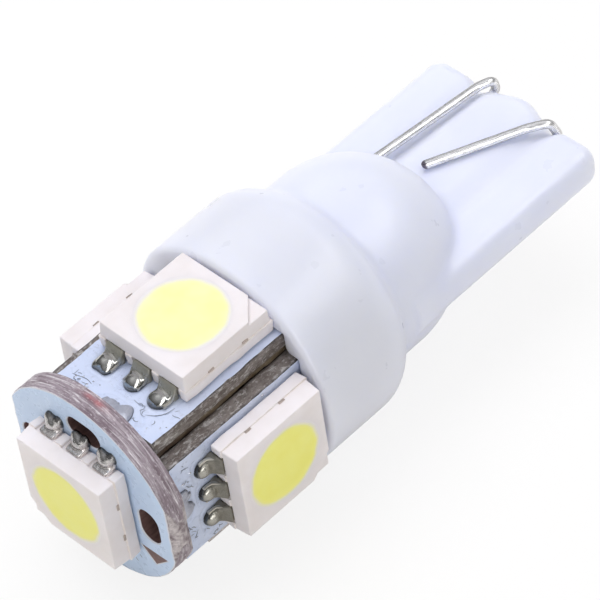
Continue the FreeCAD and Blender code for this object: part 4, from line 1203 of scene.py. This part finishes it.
def lead_mesh(way):
    """One lead with rounded corners, at y = 0 on the +x side."""
    path = []
    P = [np.array(p) for p in way]
    for i in range(len(P) - 1):
        for t in (0.0, 0.5):
            path.append(P[i] + (P[i + 1] - P[i]) * t)
    path.append(P[-1])
    path = np.array(path)
    for _ in range(2):
        path[1:-1] = 0.25 * path[:-2] + 0.5 * path[1:-1] + 0.25 * path[2:]
    tang = np.gradient(path, axis=0)
    tang /= np.linalg.norm(tang, axis=1)[:, None]
    nrm = np.stack([-tang[:, 1], tang[:, 0]], 1)
    hw, ht, r = 0.45, 0.072, 0.028
    section = []
    for cy, cz, a0 in ((hw - r, ht - r, 0), (-hw + r, ht - r, 90), (-hw + r, -ht + r, 180), (hw - r, -ht + r, 270)):
        for a in (0, 45, 90):
            t = math.radians(a0 + a)
            section.append((cy + r * math.cos(t), cz + r * math.sin(t)))
    pts, rings = [], []
    m = len(section)
    stations = [(0, 1.0)] + [(i, 1.0) for i in range(1, len(path) - 1)] + [(len(path) - 1, 1.0)]
    for i, k in stations:
        rings.append(list(range(len(pts), len(pts) + m)))
        for sy, sz in section:
            p = path[i] + nrm[i] * sz
            pts.append((p[0], sy, p[1]))
    # rounded outer end
    rings.append(list(range(len(pts), len(pts) + m)))
    for sy, sz in section:
        p = path[-1] + tang[-1] * 0.028 + nrm[-1] * sz * 0.62
        pts.append((p[0], sy * 0.94, p[1]))
    faces = []
    for a, b in zip(rings, rings[1:]):
        for i in range(m):
            j = (i + 1) % m
            faces.append([a[i], a[j], b[j], b[i]])
    faces.append(rings[0][::-1])
    faces.append(rings[-1])
    return np.array(pts), faces


def mirrored(pts, faces):
    p = np.array(pts, float)
    p[:, 0] *= -1
    return p, [list(f)[::-1] for f in (faces.tolist() if hasattr(faces, "tolist") else faces)]


HEEL_X = np.array([2.30, 2.46, 2.54, 2.62, 2.72, 2.82, 2.95, 3.10, 3.40])
HEEL_Z = np.array([0.70, 0.70, 0.68, 0.57, 0.42, 0.33, 0.28, 0.24, 0.05])
SHORT_X = np.array([2.30, 2.45, 2.49, 2.53, 2.58, 2.64, 2.72, 2.82, 3.04])


def bead(seed, k, high=0.45, rad=0.46, lumpy=0.0, cx=3.05):
    """Solder on one lead: a round mound in front of the foot, and a heel that climbs the bend up to the body."""
    rng = np.random.default_rng(seed)
    heel_x = HEEL_X if cx > 2.9 else SHORT_X
    foot = cx - 0.12
    cx, dy = cx + rng.uniform(-0.03, 0.03), rng.uniform(-0.04, 0.04)
    high = high * (1 + rng.uniform(-0.06, 0.06))
    rad = rad * (1 + rng.uniform(-0.04, 0.04))
    skew = rng.uniform(-0.10, 0.10)
    yk = k * PITCH

    def f(x, y, z):
        u, v = x - cx, y - yk - dy - skew * (x - 2.5)
        q = ((np.abs(u) / (rad * 1.03)) ** 2.1 + (np.abs(v) / rad) ** 2.1 + (np.abs(z) / high) ** 2.1) ** (1 / 2.1)
        mound = (q - 1) * min(rad, high) * 0.95
        if lumpy:
            q = np.sqrt(((u - 0.16) / 0.34) ** 2 + ((v + 0.26) / 0.24) ** 2 + (z / (0.6 * high)) ** 2)
            mound = smin(0.06, mound, (q - 1) * 0.22)
            q = np.sqrt(((u - 0.20) / 0.28) ** 2 + ((v - 0.22) / 0.26) ** 2 + ((z - 0.05) / (0.55 * high)) ** 2)
            mound = smin(0.05, mound, (q - 1) * 0.2)
        top = np.interp(x, heel_x, HEEL_Z)
        w = 0.475 - 0.09 * step(foot - 0.38, foot, x)
        heel = rmax(0.08, (z - top) * 0.62, np.abs(y - yk - 0.5 * dy) - w, 2.44 - x, x - foot)
        d = smin(0.10, mound, heel)
        d = d + (0.006 + lumpy * 0.02) * fbm(x * 3.1, y * 3.1, z * 3.1, seed, 2)
        # rough crust on the lead
        d = d + 0.012 * step(foot - 0.08, foot - 0.33, x) * fbm(x * 9, y * 9, z * 9, seed + 3, 2)
        d = np.maximum(d, 2.42 - x)
        return np.maximum(d, -0.03 - z)

    pts, quads = skin(f, (2.34, yk - 0.65, -0.10), (3.66, yk + 0.65, 0.86), 0.04, relax=1)
    return pts, quads


def tie_bar(x, s):
    """The cut end of a frame bar, flush in the wall without leads."""
    hx, hz = 0.16, 0.05
    y0 = s * (2.5 - abs(0.73 - PART) * TAN + 0.012)
    pts, quads, _ = grid_box(np.array([-hx, -hx + 0.03, 0, hx - 0.03, hx]), np.array([-0.06, -0.008, 0.0]) if s > 0 else np.array([0.0, 0.008, 0.06]),
                             np.array([-hz, -hz + 0.02, 0, hz - 0.02, hz]))
    pts = np.array(pts)
    out = np.abs(pts[:, 1]) < 1e-6
    pts[out, 0] *= 0.93
    pts[out, 2] *= 0.80
    pts[:, 2] += 0.012 * noise(pts[:, 0] * 9 + x * 5, s, 0, 7)
    return pts + np.array([x, y0, 0.73]), quads


H_X = lines((-2.67, -2.30, 0.032), (-2.30, -1.20, 0.050), (-1.20, 2.0, 0.085), (2.0, 2.30, 0.06), (2.30, 2.67, 0.032))
H_Y = -H_X[::-1]
H_Z = lines((-0.075, 0.125, 0.025), (0.125, 0.64, 0.08), (0.64, 0.74, 0.016), (0.74, 1.28, 0.09), (1.28, 1.36, 0.027), (1.36, 1.44, 0.04), (1.44, 1.56, 0.02))
H_PTS, H_QUADS = net(housing, [H_X, H_Y, H_Z], 0.04, 1)
# the housing's low attribute: darker, yellower tone towards the board and along the parting line
H_LOW = step(0.45, 0.0, H_PTS[:, 2]) * 0.30 + 0.45 * np.exp(-((H_PTS[:, 2] - PART) / 0.03) ** 2) * step(2.40, 2.45, np.maximum(np.abs(H_PTS[:, 0]), np.abs(H_PTS[:, 1])))
L_PTS, L_FACES = lens()
L_RIM = np.where(L_PTS[:, 2] > 1.40, np.hypot(L_PTS[:, 0], L_PTS[:, 1]), 2.0)

# the top package's paler yellow is painted sheen: the light glancing off the lens that faces up
LENS_TONE_AND_SHEEN = {"top": (srgb(250, 248, 176), srgb(251, 250, 190)), "right": (srgb(252, 248, 128), srgb(253, 251, 138)),
             "front": (srgb(249, 246, 134), srgb(250, 248, 144))}

BEAD = {"front": (0.46, 0.41), "right": (0.38, 0.42)}

for i, side in enumerate(SIDES):
    at = frame_at(*PACK[side], TURN[side])
    piece(side + "_led_body", H_PTS, H_QUADS, [housing_material(i)], at, (side + "_led_housing",), attributes={"low": H_LOW})
    piece(side + "_led_phosphor", L_PTS, L_FACES, [lens_material(i, *LENS_TONE_AND_SHEEN.get(side, LENS_TONE_AND_SHEEN["right"]))], at, (side + "_led_lens",), sharp=60, attributes={"rim": L_RIM})
    parts = []
    way_pts, way_faces = lead_mesh(SHORT if side == "front" else STRIP)
    for k in (-1, 0, 1):
        shifted = way_pts + np.array([0, k * PITCH, 0])
        parts.append((shifted, way_faces))
        parts.append(mirrored(shifted, way_faces))
    p, f = joined(parts)
    piece(side + "_led_strips", p, f, [LEAD_FRONT_LIT if side == "front" else LEAD], at, (side + "_led_leads",), sharp=40,
          attributes={"film": step(2.75, 2.50, np.abs(p[:, 0])) * 0.8})
    parts = []
    place = 2.68 if side == "front" else 3.05
    for k in (-1, 0, 1):
        parts.append(bead(1000 + i * 40 + k, k, *BEAD.get(side, (0.45, 0.46)), {"top": 0.7, "front": 0.25}.get(side, 0.0) if k == -1 or side == "front" else 0.0, place))
        parts.append(mirrored(*bead(2000 + i * 40 + k, k, *BEAD.get(side, (0.45, 0.46)), 0.0, place)))
    p, f = joined(parts)
    ax = np.abs(p[:, 0])
    # the right package's beads carry the olive film nearly to the tip, part of their painted shade
    reach = {"front": 2.62, "right": 3.26}.get(side, 2.94)
    # low: painted shade at the foot of each bead, next to the board
    piece(side + "_led_beads", p, f, [{"front": SOLDER_FRONT_LIT, "right": SOLDER_SHADED}.get(side, SOLDER)], at, (side + "_led_solder",),
          attributes={"film": np.clip(step(reach, reach - 0.36, ax), 0, 1) * 0.9,
                      "low": step(0.30, 0.04, p[:, 2]) * step(place - 0.34, place - 0.10, ax) * 0.92})
    p, f = joined([tie_bar(x, s) for x in (-0.98, 0.98) for s in (1, -1)])
    piece(side + "_led_tie_bars", p, f, [COPPER], at, (), sharp=50, attributes={"film": np.full(len(p), 0.4)})

# ---------------------------------------------------------------------------
# joints between the side boards and the front board
# ---------------------------------------------------------------------------


def joint(side, seed):
    rng = np.random.default_rng(seed)
    y0 = JOINT_AT[side]
    lumps = [(-0.46 + rng.uniform(-0.06, 0.06), 0.76, 0.50, 0.24), (0.30 + rng.uniform(-0.06, 0.06), 0.90, 0.46, 0.33)]

    def f(x, y, z):
        # x along the bulb with 0 at the disc, y across, z out of the board
        d = None
        for cy, reach, half, high in lumps:
            q = np.sqrt((x / reach) ** 2 + ((y - y0 - cy) / half) ** 2 + (z / high) ** 2)
            e = (q - 1) * min(reach, half, high)
            d = e if d is None else smin(0.10, d, e)
        d = d + 0.016 * fbm(x * 2.6, y * 2.6, z * 2.6, seed, 2)
        # wrinkles where it froze
        d = d + 0.09 * step(y0 + 0.20, y0 - 0.35, y) * (np.abs(noise(x * 2.2, y * 6.5, 0.0, seed + 1)) - 0.4)
        d = np.maximum(d, x - 0.0)
        return np.maximum(d, -0.04 - z)

    pts, quads = skin(f, (-1.15, y0 - 1.3, -0.14), (0.15, y0 + 1.3, 0.72), 0.045, relax=1)
    film = step(0.1, -0.5, pts[:, 0]) * 0.8
    cols = np.array(TURN[side], float)
    base = np.array(FACE[side]) + np.array([4.88, 0, 0])
    # the last value paints shade at the foot of the joint, next to the board
    return pts @ cols + base, quads, film, step(0.17 if side == "right" else 0.11, 0.0, pts[:, 2]) * 0.95


parts, films, foot_shades = [], [], []
for i, side in enumerate(("top", "right", "bottom", "left")):
    p, q, fm, foot_shade = joint(side, 300 + 7 * i)
    parts.append((p, q))
    films.append(fm)
    foot_shades.append(foot_shade)
p, f = joined(parts)
piece("board_joint_fillets", p, f, [JOINT], None, ("board_joints",),
      attributes={"film": np.concatenate(films), "low": np.concatenate(foot_shades)})

# ---------------------------------------------------------------------------
# brown flux resin that has run into the corners between the side boards
# ---------------------------------------------------------------------------

CORNERS = [(3.10, AXIS_Z + 2.85), (3.06, AXIS_Z - 3.215), (-2.76, AXIS_Z - 3.235), (-2.63, AXIS_Z + 2.83)]
RX0, RX1 = FACE["top"][0] + X0 + 1.0, FACE["top"][0] + X1 - 0.12
parts = []
for i, (cy, cz) in enumerate(CORNERS):
    def resin(x, y, z, cy=cy, cz=cz, seed=610 + i):
        d = box2(y, z, cy, cz, 0.13, 0.16, 0.05)
        d = d + 0.05 * fbm(x * 1.1, y * 2.0, z * 2.0, seed, 3)
        return np.maximum(np.maximum(d, RX0 - x), x - RX1)
    parts.append(skin(resin, (RX0 - 0.1, cy - 0.30, cz - 0.32), (RX1 + 0.1, cy + 0.30, cz + 0.32), 0.06, relax=1))
p, f = joined(parts)
piece("corner_flux_resin", p, f, [RESIN], None, ())

# ---------------------------------------------------------------------------
# flecks of flux and small scratches on the boards' masks
# ---------------------------------------------------------------------------


def fleck(place, size, out, seed):
    """A flattened grain half sunk in the face that looks along out."""
    rng = np.random.default_rng(seed)
    prof = [(0.0, -0.5), (0.6, -0.4), (0.95, -0.1), (1.0, 0.1), (0.8, 0.5), (0.45, 0.8), (0.0, 0.95)]
    p, f = lathe(prof, 14, lambda a, r: 0.22 * math.sin(2 * a + seed) + 0.14 * math.sin(3 * a + 2 * seed))
    p = p * np.array([size * rng.uniform(0.9, 1.5), size * rng.uniform(0.6, 1.0), size * 0.55])
    t = rng.uniform(0, math.pi)
    p = np.stack([p[:, 0] * math.cos(t) - p[:, 1] * math.sin(t), p[:, 0] * math.sin(t) + p[:, 1] * math.cos(t), p[:, 2]], 1)
    return p @ np.array(TURN[out], float) + np.array(place), f


def curl(way, width, out):
    """A thin raised line along a way on a face."""
    P = np.array(way, float)
    for _ in range(3):
        mid = 0.5 * (P[:-1] + P[1:])
        P = np.insert(P, range(1, len(P)), mid, axis=0)
        P[1:-1] = 0.25 * P[:-2] + 0.5 * P[1:-1] + 0.25 * P[2:]
    up = np.array(TURN[out][2], float)
    t = np.gradient(P, axis=0)
    t /= np.linalg.norm(t, axis=1)[:, None]
    side = np.cross(up, t)
    side /= np.linalg.norm(side, axis=1)[:, None]
    pts, rings = [], []
    k = 8
    for i in range(len(P)):
        w = width * (0.35 + 0.65 * math.sin(math.pi * (i + 0.3) / (len(P) - 0.4)) ** 0.5) * (1 + 0.3 * float(noise(i * 0.9, 0.5, 0, 9)))
        rings.append(list(range(len(pts), len(pts) + k)))
        for j in range(k):
            a = 2 * math.pi * j / k
            pts.append(P[i] + side[i] * math.cos(a) * w + up * (math.sin(a) * 0.35 * w + 0.002))
    faces = []
    for a, b in zip(rings, rings[1:]):
        for j in range(k):
            faces.append([a[j], a[(j + 1) % k], b[(j + 1) % k], b[j]])
    faces.append(rings[0][::-1])
    faces.append(rings[-1])
    return np.array(pts), faces


grains = []
for i, (x, y, size) in enumerate(((10.96, -1.76, 0.05), (10.99, -1.53, 0.06), (10.79, -1.49, 0.05), (10.99, -1.09, 0.05), (10.72, -0.98, 0.04),
                                  (10.68, -0.63, 0.04), (11.09, 2.49, 0.04), (10.75, 2.91, 0.04), (10.55, 3.09, 0.03))):
    grains.append(fleck((x, y, 9.425), size, "top", 20 + i))
for i, (x, z, size) in enumerate(((10.53, 7.22, 0.05), (11.01, 6.93, 0.05), (10.89, 6.28, 0.04), (6.20, 8.07, 0.07))):
    grains.append(fleck((x, 3.995, z), size, "right", 40 + i))
p, f = joined(grains)
piece("flux_flecks", p, f, [FLECK], None, (), sharp=60)

marks = []
for way in ([(10.64, 1.94), (10.52, 2.16), (10.29, 2.44), (9.98, 2.60), (9.63, 2.64)],
            [(10.95, -1.98), (10.90, -1.70), (10.76, -1.30), (10.86, -0.95)],
            [(10.36, 1.02), (10.42, 1.40), (10.30, 1.62)]):
    marks.append(curl([(x, y, 9.43) for x, y in way], 0.018, "top"))
for way in ([(10.87, 7.97), (10.80, 7.86)], [(10.67, 5.42), (10.60, 5.30), (10.63, 5.18)], [(10.26, 3.38), (10.10, 3.20)], [(9.56, 2.91), (9.40, 2.86)]):
    marks.append(curl([(x, 4.00, z) for x, z in way], 0.020, "right"))
for way in ([(2.0, 2.2), (2.12, 2.05)], [(2.33, 2.66), (2.42, 2.5)]):
    marks.append(curl([(12.615, y, z) for y, z in way], 0.02, "front"))
rng = np.random.default_rng(77)


def scribble(cx, cy, length):
    """A short crooked way round a place on a face."""
    a = rng.uniform(0, 2 * math.pi)
    out = [np.array([cx, cy])]
    for _ in range(4):
        a += rng.uniform(-0.9, 0.9)
        out.append(out[-1] + np.array([math.cos(a), math.sin(a)]) * length / 4)
    return out


for lo, hi, count in (((10.25, -1.9), (11.25, -0.9), 7), ((10.3, 1.5), (11.3, 3.0), 7), ((9.5, 2.45), (10.2, 2.9), 2)):
    for _ in range(count):
        cx, cy = rng.uniform(lo, hi)
        marks.append(curl([(x, y, 9.43) for x, y in scribble(cx, cy, rng.uniform(0.15, 0.42))], rng.uniform(0.010, 0.020), "top"))
for lo, hi, count in (((10.35, 2.9), (11.2, 4.2), 9), ((10.5, 6.4), (11.2, 7.9), 7), ((9.3, 2.65), (10.3, 3.1), 4)):
    for _ in range(count):
        cx, cz = rng.uniform(lo, hi)
        marks.append(curl([(x, 4.00, max(z, 2.60)) for x, z in scribble(cx, cz, rng.uniform(0.15, 0.45))], rng.uniform(0.012, 0.024), "right"))
p, f = joined(marks)
piece("mask_marks", p, f, [SCRATCH], None, (), sharp=60)

# ---------------------------------------------------------------------------
# wires
# ---------------------------------------------------------------------------


def rounded_path(points, bends, spacing=0.09):
    """Straight runs joined by arcs, as points."""
    P = [np.array(p, float) for p in points]
    out = []

    def run(a, b):
        k = max(1, int(np.linalg.norm(b - a) / 0.35))
        for i in range(k):
            out.append(a + (b - a) * i / k)

    start = P[0]
    for i in range(1, len(P) - 1):
        u = P[i - 1] - P[i]
        v = P[i + 1] - P[i]
        u /= np.linalg.norm(u)
        v /= np.linalg.norm(v)
        turn = math.pi - math.acos(np.clip(u @ v, -1, 1))
        r = bends[i - 1]
        cut = r * math.tan(turn / 2)
        a, b = P[i] + u * cut, P[i] + v * cut
        bis = (u + v) / np.linalg.norm(u + v)
        c = P[i] + bis * (r / math.cos(turn / 2))
        run(start, a)
        k = max(3, int(r * turn / spacing))
        e1 = (a - c) / r
        e2 = (b - c) / r
        for j in range(k):
            t = j / k
            s0, s1 = math.sin((1 - t) * turn) / math.sin(turn), math.sin(t * turn) / math.sin(turn)
            out.append(c + (e1 * s0 + e2 * s1) * r)
        start = b
    run(start, P[-1])
    out.append(P[-1])
    return np.array(out)


def tube(path, radius, seed, cut_end=True, around=28):
    tang = np.gradient(path, axis=0)
    tang /= np.linalg.norm(tang, axis=1)[:, None]
    ref = np.array([0.0, 0.0, 1.0]) if abs(tang[0][2]) < 0.9 else np.array([0.0, 1.0, 0.0])
    n0 = ref - tang[0] * (ref @ tang[0])
    n0 /= np.linalg.norm(n0)
    frames = [n0]
    for i in range(1, len(path)):
        v = frames[-1] - tang[i] * (frames[-1] @ tang[i])
        frames.append(v / np.linalg.norm(v))
    run = np.concatenate([[0], np.cumsum(np.linalg.norm(np.diff(path, axis=0), axis=1))])
    pts, flow, film, rings = [], [], [], []
    ends = [(0, -0.0, 0.55), (0, 0.0, 1.0)]
    stations = [(0, 0.0, 0.72)] + [(i, 0.0, 1.0) for i in range(len(path))]
    if cut_end:
        stations += [(len(path) - 1, 0.05, 1.0), (len(path) - 1, 0.11, 0.90), (len(path) - 1, 0.14, 0.66)]
    else:
        stations += [(len(path) - 1, 0.0, 0.72)]
    for i, ahead, k in stations:
        b = np.cross(tang[i], frames[i])
        rings.append(list(range(len(pts), len(pts) + around)))
        for j in range(around):
            a = 2 * math.pi * j / around
            r = radius * k * (1 + 0.018 * float(noise(run[i] * 0.9, math.cos(a), math.sin(a), seed)))
            off = ahead
            if cut_end and ahead > 0:
                # sheared end, longer on one side
                off = ahead + 0.10 * ahead / 0.14 * math.cos(a - 2.4)
            pts.append(path[i] + tang[i] * off + (frames[i] * math.cos(a) + b * math.sin(a)) * r)
            flow.append((run[i] + off, a * radius, seed))
            film.append(1.0 if (cut_end and ahead > 0) else 0.0)
    faces = []
    for a, b in zip(rings, rings[1:]):
        for j in range(around):
            k = (j + 1) % around
            faces.append([a[j], a[k], b[k], b[j]])
    faces.append(rings[0][::-1])
    faces.append(rings[-1])
    return np.array(pts), faces, np.array(flow), np.array(film)


LEFT_WAY = [(-11.30, -1.65, 0.00), (-20.18, -1.65, 0.00), (-20.46, -1.48, 0.60), (-20.26, -1.40, 1.32), (-19.60, -1.70, 1.25), (-13.58, -2.29, 1.26)]
RIGHT_WAY = [(-5.30, 2.85, 0.30), (-7.60, 2.45, 0.10), (-9.90, 2.20, 0.00), (-19.90, 2.20, 0.00), (-20.16, 2.42, 0.42), (-19.84, 2.27, 1.34),
             (-19.00, 1.62, 1.25), (-14.80, -0.30, 1.27)]
LEAD_WAY = [(-7.70, -1.65, 0.00), (-6.60, -1.65, 0.00), (-5.80, -2.40, -0.02), (-4.60, -2.40, -0.02)]
for name, node, way, bends, seed in (
        ("left_wire_tinned", "left_contact_wire", LEFT_WAY, [0.22, 0.30, 0.30, 0.80], 1),
        ("right_wire_tinned", "right_contact_wire", RIGHT_WAY, [1.6, 2.2, 0.20, 0.28, 0.36, 1.6], 2),
        ("resistor_front_lead", "resistor_lead", LEAD_WAY, [0.5, 0.5], 3)):
    path = rounded_path(way, bends)
    p, f, flow, film = tube(path, 0.203, seed, cut_end=(name != "resistor_front_lead"))
    piece(name, p, f, [WIRE], frame_at(ROW_X, 0, AXIS_Z), (node,), sharp=45, attributes={"flow": flow, "film": film})

# solder at the inner wire ends, on the boards' inner faces
parts = []
for cx, cy, cz, s in ((2.085, -2.75, 5.61, 1), (1.385, 3.20, 5.93, -1)):
    def lump(x, y, z, cx=cx, cy=cy, cz=cz, s=s):
        q = np.sqrt(((x - cx) / 0.70) ** 2 + ((y - cy) / 0.62) ** 2 + ((z - cz) / 0.58) ** 2)
        d = (q - 1) * 0.58 + 0.02 * fbm(x * 2.3, y * 2.3, z * 2.3, 77, 2)
        return np.maximum(d, s * (cy - y))
    parts.append(skin(lump, (cx - 0.9, cy - 0.8, cz - 0.8), (cx + 0.9, cy + 0.8, cz + 0.8), 0.06, relax=1))
p, f = joined(parts)
piece("inner_wire_joints", p, f, [SOLDER], None, ("wire_solder",),
      attributes={"film": np.zeros(len(p)), "low": np.zeros(len(p))})

# the carried-over inner piece gets its own finish
for node, material in (("series_resistor", RESISTOR),):
    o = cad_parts[node]
    o.data.materials.clear()
    o.data.materials.append(material)

bpy.context.view_layer.update()
